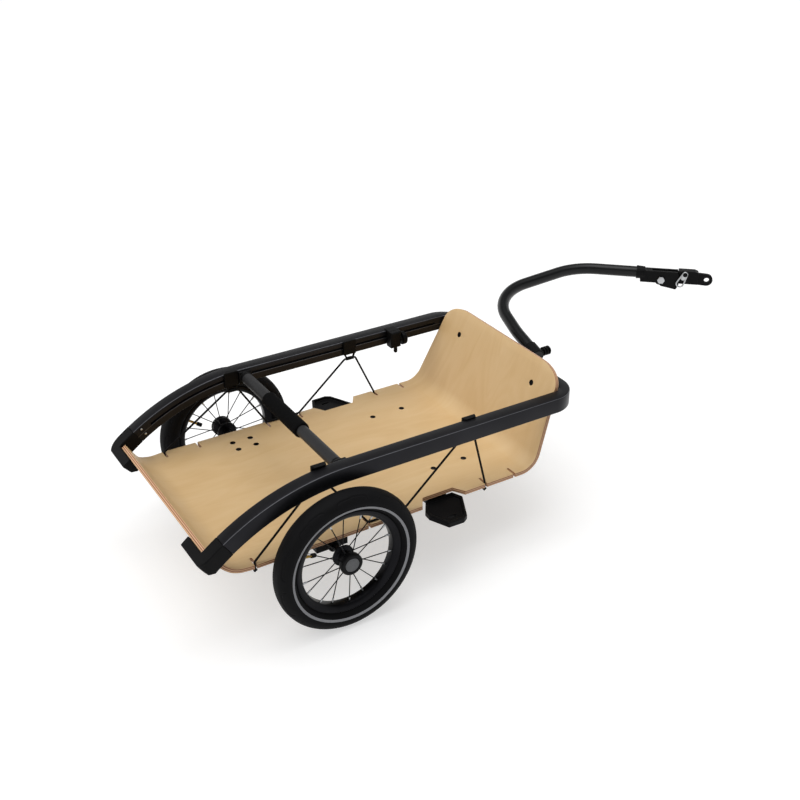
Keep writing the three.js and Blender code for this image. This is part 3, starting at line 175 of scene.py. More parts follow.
# Side cords: round polyester cord, 4.3 mm, black, braided from sixteen strands. Each one is knotted
# under the tray at both ends, laced through its notches and pulled tight through two clips.
def placed(name, mesh, finish, body, nodes):
    """A mesh in its finish, riding on its body and standing in for nodes."""
    mesh.materials.append(finish)
    obj = bpy.data.objects.new(name, mesh)
    bpy.context.scene.collection.objects.link(obj)
    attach(obj, body)
    if nodes:
        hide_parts(*nodes)
    return obj


def piece_from(name, vertices, faces, finish, body, slot, nodes=(), sharp=35):
    mesh = bpy.data.meshes.new(name)
    mesh.from_pydata([tuple(v) for v in vertices], [], faces)
    dressed = bmesh.new()
    dressed.from_mesh(mesh)
    bmesh.ops.recalc_face_normals(dressed, faces=dressed.faces)
    dressed.to_mesh(mesh)
    dressed.free()
    mesh.shade_smooth()
    mesh.set_sharp_from_angle(angle=math.radians(sharp))
    return placed(name, mesh, finish, body, nodes)


def loft(rings):
    """A skin over rings of equally many points, closed by a flat face at both ends."""
    count = len(rings[0])
    vertices = [p for ring in rings for p in ring]
    faces = []
    for r in range(len(rings) - 1):
        a, b = r * count, (r + 1) * count
        for k in range(count):
            j = (k + 1) % count
            faces.append((a + k, a + j, b + j, b + k))
    last = (len(rings) - 1) * count
    faces.append(tuple(range(count - 1, -1, -1)))
    faces.append(tuple(range(last, last + count)))
    return vertices, faces


def swept(points, radius, sides):
    points = [Vector(p) for p in points]
    rings = []
    across = None
    for k, p in enumerate(points):
        way = (points[min(k + 1, len(points) - 1)] - points[max(k - 1, 0)]).normalized()
        if across is None:
            across = way.orthogonal().normalized()
        across = (across - way * across.dot(way)).normalized()
        other = way.cross(across)
        size = radius(k / (len(points) - 1)) if callable(radius) else radius
        rings.append([p + (across * math.cos(a) + other * math.sin(a)) * size
                      for a in (2 * math.pi * j / sides for j in range(sides))])
    return loft(rings)


def mark(obj, name, values):
    layer = obj.data.attributes.new(name, "FLOAT_VECTOR", "POINT")
    layer.data.foreach_set("vector", [c for v in values for c in v])


def rounded_route(corners, radii, pieces):
    corners = [Vector(c) for c in corners]
    route = [corners[0]]
    for k in range(1, len(corners) - 1):
        back = (corners[k - 1] - corners[k]).normalized()
        on = (corners[k + 1] - corners[k]).normalized()
        half = back.angle(on) / 2
        if math.pi - half * 2 < 1e-4:
            route.append(corners[k])
            continue
        centre = corners[k] + (back + on).normalized() * radii[k - 1] / math.sin(half)
        first = corners[k] + back * radii[k - 1] / math.tan(half) - centre
        last = corners[k] + on * radii[k - 1] / math.tan(half) - centre
        for j in range(pieces + 1):
            route.append(centre + first.slerp(last, j / pieces).normalized() * radii[k - 1])
    return route + [corners[-1]]


CORD = 4.3
CORD_PLACES = {"rear": -157, "rear_inner": 77, "front_inner": 154, "front": 343}
CORD_INSET = 218
TRAY_TOP = 163
PLY = 9
EYE_Y, EYE_Z, EYE_HALF = 203.2, 273.5, 13.3
KNOT = 10
KNOT_STRAND_SHARE, KNOT_FLAT, KNOT_RAISED = 0.31, 0.86, 1.9
BRAID_TURN = 4.8
STAND_OFF = 0.3
CORD_SIDES, KNOT_SIDES, KNOT_STEPS = 12, 8, 60

# Polyester cord: dull black, its strands about 1.3 mm wide and eight each way; to show, four each way are
# drawn, with a crest every 1.2 mm along the cord. Between the strands the colour is darker, a painted shade.
braid, tree, shader = finish_of("braided_polyester", "#101011", 0.82, Specular_IOR_Level=0.2)
lay = add_node(tree, "ShaderNodeAttribute", {"attribute_name": "braid_lay"})
split = add_node(tree, "ShaderNodeSeparateXYZ", inputs={0: lay.outputs["Vector"]})
strands = []
for sign in (1, -1):
    run = add_node(tree, "ShaderNodeMath", {"operation": "MULTIPLY_ADD"},
                   {0: split.outputs[1], 1: sign * 2 * math.pi / BRAID_TURN, 2: split.outputs[0]})
    turned_by = add_node(tree, "ShaderNodeMath", {"operation": "MULTIPLY"}, {0: run.outputs[0], 1: 4.0})
    strands.append(add_node(tree, "ShaderNodeMath", {"operation": "SINE"}, {0: turned_by.outputs[0]}))
weave = add_node(tree, "ShaderNodeMath", {"operation": "MAXIMUM"},
                 {0: strands[0].outputs[0], 1: strands[1].outputs[0]})
braid_trough_shade = add_node(tree, "ShaderNodeValToRGB", inputs={0: weave.outputs[0]},
                ramp=[(0, linear("#050506")), (1, linear("#151517"))])
relief = add_node(tree, "ShaderNodeBump",
                  inputs={"Strength": 0.6, "Distance": 0.0003, "Height": weave.outputs[0]})
tree.links.new(braid_trough_shade.outputs[0], shader.inputs["Base Color"])
tree.links.new(relief.outputs[0], shader.inputs["Normal"])

clips = {"left": (-3, 276), "right": (-15, 310)}
for side, s in (("left", 1), ("right", -1)):
    on_tray = TRAY_TOP + CORD / 2 + STAND_OFF
    knot_z = TRAY_TOP - PLY - KNOT / 2 - STAND_OFF
    eyes = [(middle + reach, EYE_Y, EYE_Z) for middle in clips[side] for reach in (-EYE_HALF, EYE_HALF)]
    rear, rear_inner, front_inner, front = [(x, CORD_INSET, on_tray) for x in CORD_PLACES.values()]
    corners = [(rear[0], CORD_INSET, knot_z), rear, *eyes[:2], rear_inner, front_inner, *eyes[2:], front,
               (front[0], CORD_INSET, knot_z)]
    bends = rounded_route([(x, y * s, z) for x, y, z in corners], [CORD * 1.2] * 8, 5)
    route = [bends[0]]
    for p in bends[1:]:
        steps = max(1, round((p - route[-1]).length / 12))
        start = route[-1]
        route += [start.lerp(p, j / steps) for j in range(1, steps + 1)]
    run_length = [0.0]
    for p, q in zip(route, route[1:]):
        run_length.append(run_length[-1] + (q - p).length)
    vertices, faces = swept([place(*p) for p in route], CORD / 2000, CORD_SIDES)
    cord = piece_from(f"lacing_{side}", vertices, faces, braid, "frame", "cord", [f"side_cord_{side}"], 60)
    mark(cord, "braid_lay", [(2 * math.pi * (k % CORD_SIDES) / CORD_SIDES, run_length[k // CORD_SIDES], 0)
                             for k in range(len(vertices))])
    for end in ("rear", "front"):
        # An overhand knot, its loops pressed into a small ball
        x = CORD_PLACES[end]
        loops = []
        for k in range(KNOT_STEPS + 1):
            t = 2 * math.pi * k / KNOT_STEPS
            spread = (KNOT - CORD * 0.62) / 2 / 3
            loops.append(place(x + spread * (math.sin(t) + 2 * math.sin(2 * t)) * KNOT_FLAT,
                               s * (CORD_INSET + spread * (math.cos(t) - 2 * math.cos(2 * t)) * KNOT_FLAT),
                               knot_z + spread * -math.sin(3 * t) * KNOT_RAISED))
        vertices, faces = swept(loops, CORD * KNOT_STRAND_SHARE / 1000, KNOT_SIDES)
        knot = piece_from(f"knot_{side}_{end}", vertices, faces, braid, "frame", "cord", (), 60)
        mark(knot, "braid_lay", [(2 * math.pi * (k % KNOT_SIDES) / KNOT_SIDES, (k // KNOT_SIDES) * 0.6, 0)
                                 for k in range(len(vertices))])


# Rails: one hollow aluminium extrusion, 29.5 by 32.5 mm, bent into a U round the front of the tray
# and dropped behind the wheels, blasted and anodised black. A T-slot runs along its inner faces.
RAIL = {"top": 314, "outer": 236, "wide": 29.5, "tall": 32.5, "edge": 2.4, "front": 561, "corner": 59,
        "inner_corner": 12, "drop_start": 30, "drop_radius": 447, "seam": 0.592}
SLOT = {"drop": 11.5, "wide": 5, "deep": 5, "lip": 0.6, "filled": 0.02}


def noisy_surface(tree, shader, broad=None, fine=None, cells=None, shades=(), steps=(0.0, 1.0), gloss=None,
                  relief=None):
    """Noise over a surface: broad and fine are each (patches per metre, detail); cells, also per metre, are a
    fine noise of their own. The colour drifts between two shades at steps of the broad noise, or else of the
    fine one. gloss is (noise, least and most roughness), relief is (strength, depth in metres) of fine."""
    where = add_node(tree, "ShaderNodeTexCoord").outputs["Object"]
    noises = {}
    for kind, size in (("broad", broad), ("fine", fine)):
        if size:
            noises[kind] = add_node(tree, "ShaderNodeTexNoise", inputs={
                "Vector": where, "Scale": size[0], "Detail": size[1]}).outputs["Fac"]
    if cells:
        noises["fine"] = add_node(tree, "ShaderNodeTexVoronoi",
                                  inputs={"Vector": where, "Scale": cells}).outputs["Distance"]
    if gloss:
        kind, least, most = gloss
        sheen = add_node(tree, "ShaderNodeMapRange", inputs={0: noises[kind], 3: least, 4: most})
        tree.links.new(sheen.outputs[0], shader.inputs["Roughness"])
    if relief:
        bumps = add_node(tree, "ShaderNodeBump", inputs={
            "Strength": relief[0], "Distance": relief[1], "Height": noises["fine"]})
        tree.links.new(bumps.outputs[0], shader.inputs["Normal"])
    if not shades:
        return None
    drift = add_node(tree, "ShaderNodeValToRGB", inputs={0: noises.get("broad", noises.get("fine"))},
                     ramp=[(step, linear(shade)) for step, shade in zip(steps, shades)])
    tree.links.new(drift.outputs[0], shader.inputs["Base Color"])
    return drift.outputs[0]


# Anodised aluminium: satin, close to black, its blasted grain about 0.4 mm and drawn at 1.5 mm to show.
anodised, tree, shader = finish_of("black_anodised_aluminium", "#26272b", 0.4, 0.85, Specular_IOR_Level=0.3)
drift = noisy_surface(tree, shader, broad=(9.0, 3.0), fine=(650.0, 2.0), shades=("#232326", "#2a2a2d"),
                      steps=(0.35, 0.7), gloss=("fine", 0.32, 0.44), relief=(0.12, 0.0002))
# A painted highlight, a light grey line about 1 mm wide, runs along the upper corners and the slot's lower
# lip
edge_highlight_mark = add_node(tree, "ShaderNodeAttribute", {"attribute_name": "painted_edge_highlight"})
edge_highlight_share = add_node(tree, "ShaderNodeSeparateXYZ", inputs={0: edge_highlight_mark.outputs["Vector"]})
with_edge_highlights = add_node(tree, "ShaderNodeMix", {"data_type": "RGBA"},
                        {0: edge_highlight_share.outputs[0], 6: drift, 7: linear("#77787d")})
tree.links.new(with_edge_highlights.outputs[2], shader.inputs["Base Color"])


def on_tail(angle, down, y):
    """A point of the drooping tail, down from its top face."""
    radius = RAIL["drop_radius"] - down
    return place(RAIL["drop_start"] - radius * math.sin(angle), y,
                 RAIL["top"] - RAIL["drop_radius"] + radius * math.cos(angle))


def rail_station(outer, inner, drop=None, slotted=False):
    """One section of the extrusion between the places of its two faces; drop is the angle of its tail."""
    edge, tall = RAIL["edge"], RAIL["tall"]
    across = (Vector(outer) - Vector(inner)).normalized()
    deep = SLOT["deep"] if slotted else SLOT["filled"]
    quarter = [math.pi / 2 * k / 4 for k in range(5)]
    profile = [("o", edge - edge * math.cos(a), edge - edge * math.sin(a)) for a in quarter]
    profile += [("i", edge - edge * math.sin(a), edge - edge * math.cos(a)) for a in quarter]
    lip, top, foot = SLOT["lip"], SLOT["drop"], SLOT["drop"] + SLOT["wide"]
    profile += [("i", 0, top - lip), ("i", min(deep, lip), top), ("i", deep, top), ("i", deep, foot),
                ("i", min(deep, lip), foot), ("i", 0, foot + lip), ("i", 0, foot + 1.4)]
    profile += [("i", edge - edge * math.cos(a), tall - edge + edge * math.sin(a)) for a in quarter]
    profile += [("o", edge - edge * math.sin(a), tall - edge + edge * math.cos(a)) for a in quarter]
    ring = []
    for face, depth, down in profile:
        flat = Vector(outer) - across * depth if face == "o" else Vector(inner) + across * depth
        if drop is None:
            ring.append(place(flat.x, flat.y, RAIL["top"] - down))
        else:
            ring.append(on_tail(drop, down, flat.y))
    return ring


half_rings = []
outer_y, inner_y = RAIL["outer"], RAIL["outer"] - RAIL["wide"]
slot_end = RAIL["seam"] * 0.86
angles = [RAIL["seam"] * (1 - k / 36) for k in range(37)]
angles = sorted(angles + [slot_end + 0.002, slot_end - 0.002], reverse=True)
for angle in angles:
    half_rings.append(rail_station((0, outer_y), (0, inner_y), angle, slotted=angle < slot_end))
for x in (120, 240, 360, 470, 497):
    half_rings.append(rail_station((x, outer_y), (x, inner_y), slotted=True))
bend = RAIL["front"] - RAIL["corner"]
inside = RAIL["front"] - RAIL["wide"] - RAIL["inner_corner"]
inside_y = inner_y - RAIL["inner_corner"]
half_rings.append(rail_station((500, outer_y), (501, inner_y)))
for k in range(17):
    a = math.pi / 2 * (1 - k / 16)
    half_rings.append(rail_station(
        (bend + RAIL["corner"] * math.cos(a), outer_y - RAIL["corner"] + RAIL["corner"] * math.sin(a)),
        (inside + RAIL["inner_corner"] * math.cos(a), inside_y + RAIL["inner_corner"] * math.sin(a))))
half_rings.append(rail_station((RAIL["front"], 90), (RAIL["front"] - RAIL["wide"], 90)))
right_half = [[Vector((p.x, -p.y, p.z)) for p in ring] for ring in reversed(half_rings)]
vertices, faces = loft(half_rings + right_half)
rails = piece_from("rail_extrusion", vertices, faces, anodised, "frame", "rail", ["rail_frame"])
# Points of one section that take the painted highlight: its two upper corners and the lower lip of the slot
edge_highlight_points = {2: 1.0, 7: 0.7, 15: 0.6}
mark(rails, "painted_edge_highlight", [(edge_highlight_points.get(k % len(half_rings[0]), 0.0), 0, 0)
                              for k in range(len(vertices))])

# Two zinc rivets on the inner face of each tail hold the corner cap inside it. Zinc plate: bright, with
# a passivated bloom about 0.5 mm across, drawn at 2.4 mm to show.
zinc, tree, shader = finish_of("zinc_plated_steel", "#b9bbbd", 0.32, 1.0)
noisy_surface(tree, shader, fine=(420.0, 4.0), gloss=("fine", 0.24, 0.46), relief=(0.15, 0.0002))


def turned(profile, centre, way, sides):
    """A profile of (distance along way, radius), both in millimetres, turned about way through centre."""
    way = Vector(way).normalized()
    across = way.orthogonal().normalized()
    other = way.cross(across)
    rings = []
    for along, radius in profile:
        middle = centre + way * along / 1000
        rings.append([middle + (across * math.cos(a) + other * math.sin(a)) * radius / 1000
                      for a in (2 * math.pi * k / sides for k in range(sides))])
    return loft(rings)


for side, s in (("left", 1), ("right", -1)):
    for number, share in ((1, 0.25), (2, 0.7)):
        centre = on_tail(RAIL["seam"] * 0.94, RAIL["tall"] * share, s * inner_y)
        head = turned([(-0.4, 2.4), (0.0, 2.4), (0.5, 2.1), (0.85, 1.3), (1.0, 0.3)], centre, (0, -s, 0), 20)
        piece_from(f"tail_rivet_{side}_{number}", *head, zinc, "frame", "steel")


# Corner caps: glass-filled polyamide mouldings that close the tails of the rails and reach in
# behind the lip of the tray. Their edges are rounded in the tool, the skin lightly spark-eroded.
# Polyamide: matte black, the eroded skin about 0.3 mm and drawn at 1 mm to show.
polyamide, tree, shader = finish_of("moulded_polyamide", "#080809", 0.46, Specular_IOR_Level=0.1)
noisy_surface(tree, shader, broad=(22.0, 3.0), fine=(900.0, 2.0), shades=("#060607", "#0c0c0d"),
              steps=(0.35, 0.7), gloss=("broad", 0.4, 0.52), relief=(0.2, 0.0002))


def shaped_from(node, name, finish, refine=None):
    """A piece of its own with the shape of a node. refine moves its corners, in millimetres from the axle."""
    mesh = bpy.data.meshes.new(name)
    shape = bmesh.new()
    shape.from_mesh(frame["nodes"][node].data)
    bmesh.ops.remove_doubles(shape, verts=shape.verts, dist=1e-5)
    bmesh.ops.dissolve_limit(shape, angle_limit=math.radians(1.0), verts=shape.verts, edges=shape.edges)
    if refine:
        for v in shape.verts:
            v.co = place(*refine((v.co.x - axle_x) * 1000, v.co.y * 1000, v.co.z * 1000))
    shape.to_mesh(mesh)
    shape.free()
    mesh.materials.clear()
    mesh.shade_smooth()
    return placed(name, mesh, finish, body_of_node[node], [node])


def moulded(node, name, cell, rounds, refine=None):
    """A polyamide moulding as its tool leaves it: the skin follows the node in cells of some millimetres,
    and every edge is eased."""
    obj = shaped_from(node, name, polyamide, refine)
    skin_cells = obj.modifiers.new("tool_skin", "REMESH")
    skin_cells.mode = "VOXEL"
    skin_cells.voxel_size = cell / 1000
    skin_cells.use_smooth_shade = True
    easing = obj.modifiers.new("tool_radius", "SMOOTH")
    easing.factor = 0.5
    easing.iterations = rounds
    return obj


def machined(node, name, finish, edge=0.4):
    """A turned or sawn metal piece with its edges broken by a small chamfer."""
    obj = shaped_from(node, name, finish)
    chamfer = obj.modifiers.new("broken_edge", "BEVEL")
    chamfer.width = edge / 1000
    chamfer.segments = 2
    chamfer.limit_method = "ANGLE"
    chamfer.angle_limit = math.radians(32)
    chamfer.harden_normals = True
    chamfer.use_clamp_overlap = True
    return obj


LIP_ANGLE = 1.01
LIP_BACK = (-247.9, 212.6)
LIP_GAP = 0.4
FOOT_FACE_ANGLE = 0.6927


def to_the_lip(x, y, z):
    """The front face of the cap's foot comes forward until it lies just behind the bent lip of the tray."""
    turn_x, turn_z = RAIL["drop_start"], RAIL["top"] - RAIL["drop_radius"]
    angle = math.atan2(turn_x - x, z - turn_z)
    if abs(y) < inner_y + 0.1 and abs(angle - FOOT_FACE_ANGLE) < 0.006:
        gap = (LIP_BACK[0] - x) * math.sin(LIP_ANGLE) + (LIP_BACK[1] - z) * math.cos(LIP_ANGLE) - LIP_GAP
        return x + gap * math.cos(angle), y, z + gap * math.sin(angle)
    return x, y, z


for side in ("left", "right"):
    moulded(f"end_cap_{side}", f"corner_cap_{side}", 0.9, 14, to_the_lip)


# Tray: one sheet of 9 mm birch plywood, cut flat with its lacing notches and holes, then bent up
# behind into a lip and in front into a panel. The face is sanded and clear lacquered; the cut edge
# shows the plies.
LIP = {"bend_start": -178, "radius": 51, "angle": LIP_ANGLE, "straight": 36, "wide": 410}
PANEL = {"foot": 458.5, "angle": 1.18, "radius": 40, "top": 348.7, "top_wide": 388, "corner": (59, 38)}
TRAY_WIDE = 448
NOTCHES = {"places": (-157, -84, 77, 154, 343, 412), "wide": 5, "inner": 200}
SIDE_NOTCH = ((189, 232), (209, 200), (278.5, 200), (297.3, 232))
HOLES = [(-20, 151.5), (20, 151.5), (-20, 181.5), (20, 181.5), (285, 121.5), (358, 121.5)]
PANEL_HOLE = (131.5, 299)
HOLE = 12
RIM = 0.6
front_start = PANEL["foot"] - PANEL["radius"] * math.tan(PANEL["angle"] / 2)
front_end = front_start + PANEL["radius"] * PANEL["angle"]
lip_arc = LIP["radius"] * LIP["angle"]


def bent(s, y, depth):
    """Where a point of the flat sheet lies once the sheet is bent; depth is below the cargo face."""
    if LIP["bend_start"] <= s <= front_start:
        return place(s, y, TRAY_TOP - depth)
    start, way, curve = (LIP["bend_start"], -1, LIP) if s < LIP["bend_start"] else (front_start, 1, PANEL)
    past = (s - start) * way
    angle = min(past / curve["radius"], curve["angle"])
    rest = max(past - curve["radius"] * curve["angle"], 0)
    reach = curve["radius"] + depth
    x = start + way * (reach * math.sin(angle) + rest * math.cos(angle))
    z = TRAY_TOP + curve["radius"] - reach * math.cos(angle) + rest * math.sin(angle)
    return place(x, y, z)


def sheet_at_height(z):
    """How far along the flat sheet the panel reaches the height z."""
    bend_top = TRAY_TOP + PANEL["radius"] * (1 - math.cos(PANEL["angle"]))
    if z < bend_top:
        return front_start + PANEL["radius"] * math.acos(1 - (z - TRAY_TOP) / PANEL["radius"])
    return front_end + (z - bend_top) / math.sin(PANEL["angle"])


half = TRAY_WIDE / 2
lip_half = LIP["wide"] / 2
lip_end = LIP["bend_start"] - lip_arc - LIP["straight"]
half_outline = [(lip_end, 0), (lip_end, lip_half - 3), (lip_end + 0.9, lip_half - 0.9),
                (lip_end + 3, lip_half), (-225, lip_half), (-219, lip_half + 2), (-212, lip_half + 7),
                (-199, half - 5.7), (-185, half - 3.2), (-168, half - 1.0)]
notch_half = NOTCHES["wide"] / 2


def notch_end(x):
    """The round inner end of the notch at x."""
    return [(x - notch_half * math.cos(a), NOTCHES["inner"] + notch_half * (1 - math.sin(a)))
            for a in (math.pi * k / 8 for k in range(9))]


rear_slot = NOTCHES["places"][0]
cuts = [(x, [(x - notch_half, half)] + notch_end(x) + [(x + notch_half, half)])
        for x in NOTCHES["places"][1:]]
slant = (SIDE_NOTCH[1][0] - SIDE_NOTCH[0][0]) / (SIDE_NOTCH[0][1] - SIDE_NOTCH[1][1])
cuts.append((240, [(SIDE_NOTCH[1][0] - slant * (half - 200), half), SIDE_NOTCH[1], SIDE_NOTCH[2],
                   (SIDE_NOTCH[2][0] + slant * (half - 200), half)]))
half_outline += [(rear_slot - notch_half, half - 0.4)] + notch_end(rear_slot)
half_outline.append((rear_slot + notch_half, half))
for _, cut_points in sorted(cuts):
    half_outline += cut_points
slope = (half - PANEL["top_wide"] / 2) / (PANEL["top"] - TRAY_TOP)
corner_wide, corner_tall = PANEL["corner"]
half_outline.append((sheet_at_height(TRAY_TOP + 0.01), half))
for z in (175, 190, 210, 250, 290):
    half_outline.append((sheet_at_height(z), half - slope * (z - TRAY_TOP)))
for k in range(15):
    a = math.pi / 2 * k / 14
    y = PANEL["top_wide"] / 2 - corner_wide + (corner_wide + slope * corner_tall) * math.cos(a)
    half_outline.append((sheet_at_height(PANEL["top"] - corner_tall + corner_tall * math.sin(a)), y))
outline = half_outline + [(s, -y) for s, y in reversed(half_outline[1:])]

holes = [(x, y * s) for x, y in HOLES for s in (1, -1)]
holes += [(sheet_at_height(PANEL_HOLE[1]), PANEL_HOLE[0] * s) for s in (1, -1)]
pattern = bpy.data.curves.new("tray_pattern", "CURVE")
pattern.dimensions = "2D"
pattern.fill_mode = "BOTH"
for loop in [outline] + [[(x + HOLE / 2 * math.cos(a), y + HOLE / 2 * math.sin(a))
                          for a in (2 * math.pi * k / 28 for k in range(28))] for x, y in holes]:
    spline = pattern.splines.new("POLY")
    spline.points.add(len(loop) - 1)
    for point, (a, b) in zip(spline.points, loop):
        point.co = (a, b, 0, 1)
    spline.use_cyclic_u = True
pattern_object = bpy.data.objects.new("tray_pattern", pattern)
bpy.context.scene.collection.objects.link(pattern_object)
flat_mesh = bpy.data.meshes.new_from_object(pattern_object)
bpy.data.objects.remove(pattern_object)
sheet = bmesh.new()
sheet.from_mesh(flat_mesh)
bmesh.ops.remove_doubles(sheet, verts=sheet.verts, dist=1e-3)
for face in sheet.faces:
    if face.normal.z < 0:
        face.normal_flip()
grown = bmesh.ops.extrude_face_region(sheet, geom=sheet.faces[:])
for element in grown["geom"]:
    if isinstance(element, bmesh.types.BMVert):
        element.co.z -= PLY
bmesh.ops.recalc_face_normals(sheet, faces=sheet.faces)
rim_edges = [e for e in sheet.edges if len(e.link_faces) == 2 and e.calc_face_angle() > 1.2
             and abs(e.verts[0].co.z - e.verts[1].co.z) < 0.01]
bmesh.ops.bevel(sheet, geom=rim_edges, offset=RIM, segments=2, profile=0.5, affect="EDGES",
                clamp_overlap=True)
stations = [lip_end + 2 + k * 4 for k in range(23)] + [-140 + k * 30 for k in range(19)]
stations += [front_start + k * 3.0 for k in range(-1, 18)] + [front_end + 5 + k * 25 for k in range(7)]
for station in stations:
    bmesh.ops.bisect_plane(sheet, geom=sheet.verts[:] + sheet.edges[:] + sheet.faces[:],
                           plane_co=(station, 0, 0), plane_no=(1, 0, 0))
bmesh.ops.triangulate(sheet, faces=[f for f in sheet.faces if len(f.verts) > 4])
flat_places = [tuple(v.co) for v in sheet.verts]
to_hole = [min(math.hypot(s - x, y - across) for x, across in holes) for s, y, _ in flat_places]
# Points deep in the walls of the drilled holes, which take a painted shade
hole_wall_shade_values = [(float(place_of[2] < -0.1 and away < HOLE / 2 + 0.4), 0, 0)
               for place_of, away in zip(flat_places, to_hole)]
for v in sheet.verts:
    v.co = bent(v.co.x, v.co.y, -v.co.z)
tray_mesh = bpy.data.meshes.new("birch_tray")
sheet.to_mesh(tray_mesh)
sheet.free()
bpy.data.meshes.remove(flat_mesh)

# Birch plywood, lacquered: pale honey veneer with faint rotary-cut figure along the sheet, pores about
# 0.3 mm wide drawn at 1.1 mm, and plies of 1.3 mm on the cut edge, drawn at 1.8 mm, every second one end
# grain and darker. The walls of the drilled holes are painted near-black brown, a painted shade.
birch, tree, shader = finish_of("lacquered_birch_plywood", "#d4b382", 0.46, IOR=1.5)
flat_place = add_node(tree, "ShaderNodeAttribute", {"attribute_name": "flat_sheet"})
split = add_node(tree, "ShaderNodeSeparateXYZ", inputs={0: flat_place.outputs["Vector"]})
figure_scale = add_node(tree, "ShaderNodeVectorMath", {"operation": "MULTIPLY"},
                        {0: flat_place.outputs["Vector"], 1: (0.0016, 0.0062, 0.0)})
figure = add_node(tree, "ShaderNodeTexNoise", inputs={"Vector": figure_scale.outputs[0], "Scale": 1.6,
                                                      "Detail": 2.0, "Distortion": 0.9})
rings = add_node(tree, "ShaderNodeMath", {"operation": "MULTIPLY"}, {0: figure.outputs["Fac"], 1: 52.0})
wave = add_node(tree, "ShaderNodeMath", {"operation": "SINE"}, {0: rings.outputs[0]})
fibre_scale = add_node(tree, "ShaderNodeVectorMath", {"operation": "MULTIPLY"},
                       {0: flat_place.outputs["Vector"], 1: (0.02, 0.9, 0.9)})
fibre = add_node(tree, "ShaderNodeTexNoise",
                 inputs={"Vector": fibre_scale.outputs[0], "Scale": 1.0, "Detail": 5.0})
patches = add_node(tree, "ShaderNodeTexNoise", inputs={"Vector": figure_scale.outputs[0], "Scale": 3.1,
                                                       "Detail": 3.0})
wave_part = add_node(tree, "ShaderNodeMath", {"operation": "MULTIPLY"}, {0: wave.outputs[0], 1: 0.05})
fibre_part = add_node(tree, "ShaderNodeMath", {"operation": "MULTIPLY_ADD"},
                      {0: fibre.outputs["Fac"], 1: 0.42, 2: wave_part.outputs[0]})
grain = add_node(tree, "ShaderNodeMath", {"operation": "MULTIPLY_ADD"},
                 {0: patches.outputs["Fac"], 1: 0.62, 2: fibre_part.outputs[0]})
veneer = add_node(tree, "ShaderNodeValToRGB", inputs={0: grain.outputs[0]},
                  ramp=[(0.3, linear("#ceab79")), (0.5, linear("#d4b382")), (0.72, linear("#d8b98a"))])
ply_count = add_node(tree, "ShaderNodeMath", {"operation": "MULTIPLY"}, {0: split.outputs[2], 1: 1 / 3.6})
ply_wobble = add_node(tree, "ShaderNodeMath", {"operation": "MULTIPLY_ADD"},
                      {0: patches.outputs["Fac"], 1: 0.06, 2: ply_count.outputs[0]})
ply_wave = add_node(tree, "ShaderNodeMath", {"operation": "PINGPONG"}, {0: ply_wobble.outputs[0], 1: 0.5})
plies = add_node(tree, "ShaderNodeValToRGB", inputs={0: ply_wave.outputs[0]},
                 ramp=[(0.2, linear("#e0b48c")), (0.32, linear("#96603f"))])
inside_edge = add_node(tree, "ShaderNodeMath", {"operation": "PINGPONG"}, {0: split.outputs[2], 1: PLY / 2})
on_edge = add_node(tree, "ShaderNodeMapRange", inputs={0: inside_edge.outputs[0], 1: 0.35, 2: 0.6})
cut_or_face = add_node(tree, "ShaderNodeMix", {"data_type": "RGBA"},
                       {0: on_edge.outputs[0], 6: veneer.outputs[0], 7: plies.outputs[0]})
hole_shade_attribute = add_node(tree, "ShaderNodeAttribute", {"attribute_name": "painted_hole_wall_shade"})
hole_wall_shade_share = add_node(tree, "ShaderNodeSeparateXYZ", inputs={0: hole_shade_attribute.outputs["Vector"]})
# The walls of the drilled holes are painted near-black brown, a painted shade
whole = add_node(tree, "ShaderNodeMix", {"data_type": "RGBA"},
                 {0: hole_wall_shade_share.outputs[0], 6: cut_or_face.outputs[2], 7: linear("#170c07")})
gloss = add_node(tree, "ShaderNodeMapRange", inputs={0: fibre.outputs["Fac"], 3: 0.38, 4: 0.56})
relief = add_node(tree, "ShaderNodeBump",
                  inputs={"Strength": 0.22, "Distance": 0.00025, "Height": fibre.outputs["Fac"]})
tree.links.new(whole.outputs[2], shader.inputs["Base Color"])
tree.links.new(gloss.outputs[0], shader.inputs["Roughness"])
tree.links.new(relief.outputs[0], shader.inputs["Normal"])
tray_mesh.shade_smooth()
tray_mesh.set_sharp_from_angle(angle=math.radians(35))
tray = placed("birch_tray", tray_mesh, birch, "frame", ["deck"])
mark(tray, "flat_sheet", flat_places)
mark(tray, "painted_hole_wall_shade", hole_wall_shade_values)


# Brace: a 24 mm aluminium tube across the rails, powder coated dark grey, in a polyamide foot at
# each end, with a sleeve of closed-cell foam in the middle to carry it by.
BRACE = {"x": 28, "z": 297.75, "half": 190.2, "radius": 12}
GRIP_MIDDLE = 17
# Powder coat: dark grey, its orange peel about 1.9 mm across.
powder, tree, shader = finish_of("dark_grey_powder_coat", "#2b2c2e", 0.5, Specular_IOR_Level=0.25)
noisy_surface(tree, shader, broad=(14.0, 2.0), fine=(520.0, 2.0), shades=("#242425", "#2d2d2e"),
              gloss=("fine", 0.42, 0.58), relief=(0.2, 0.0002))
core = place(BRACE["x"], 0, BRACE["z"])
bar = turned([(-BRACE["half"], BRACE["radius"]), (BRACE["half"], BRACE["radius"])], core, (0, 1, 0), 48)
piece_from("brace_bar", *bar, powder, "frame", "brace", ["brace_tube"])

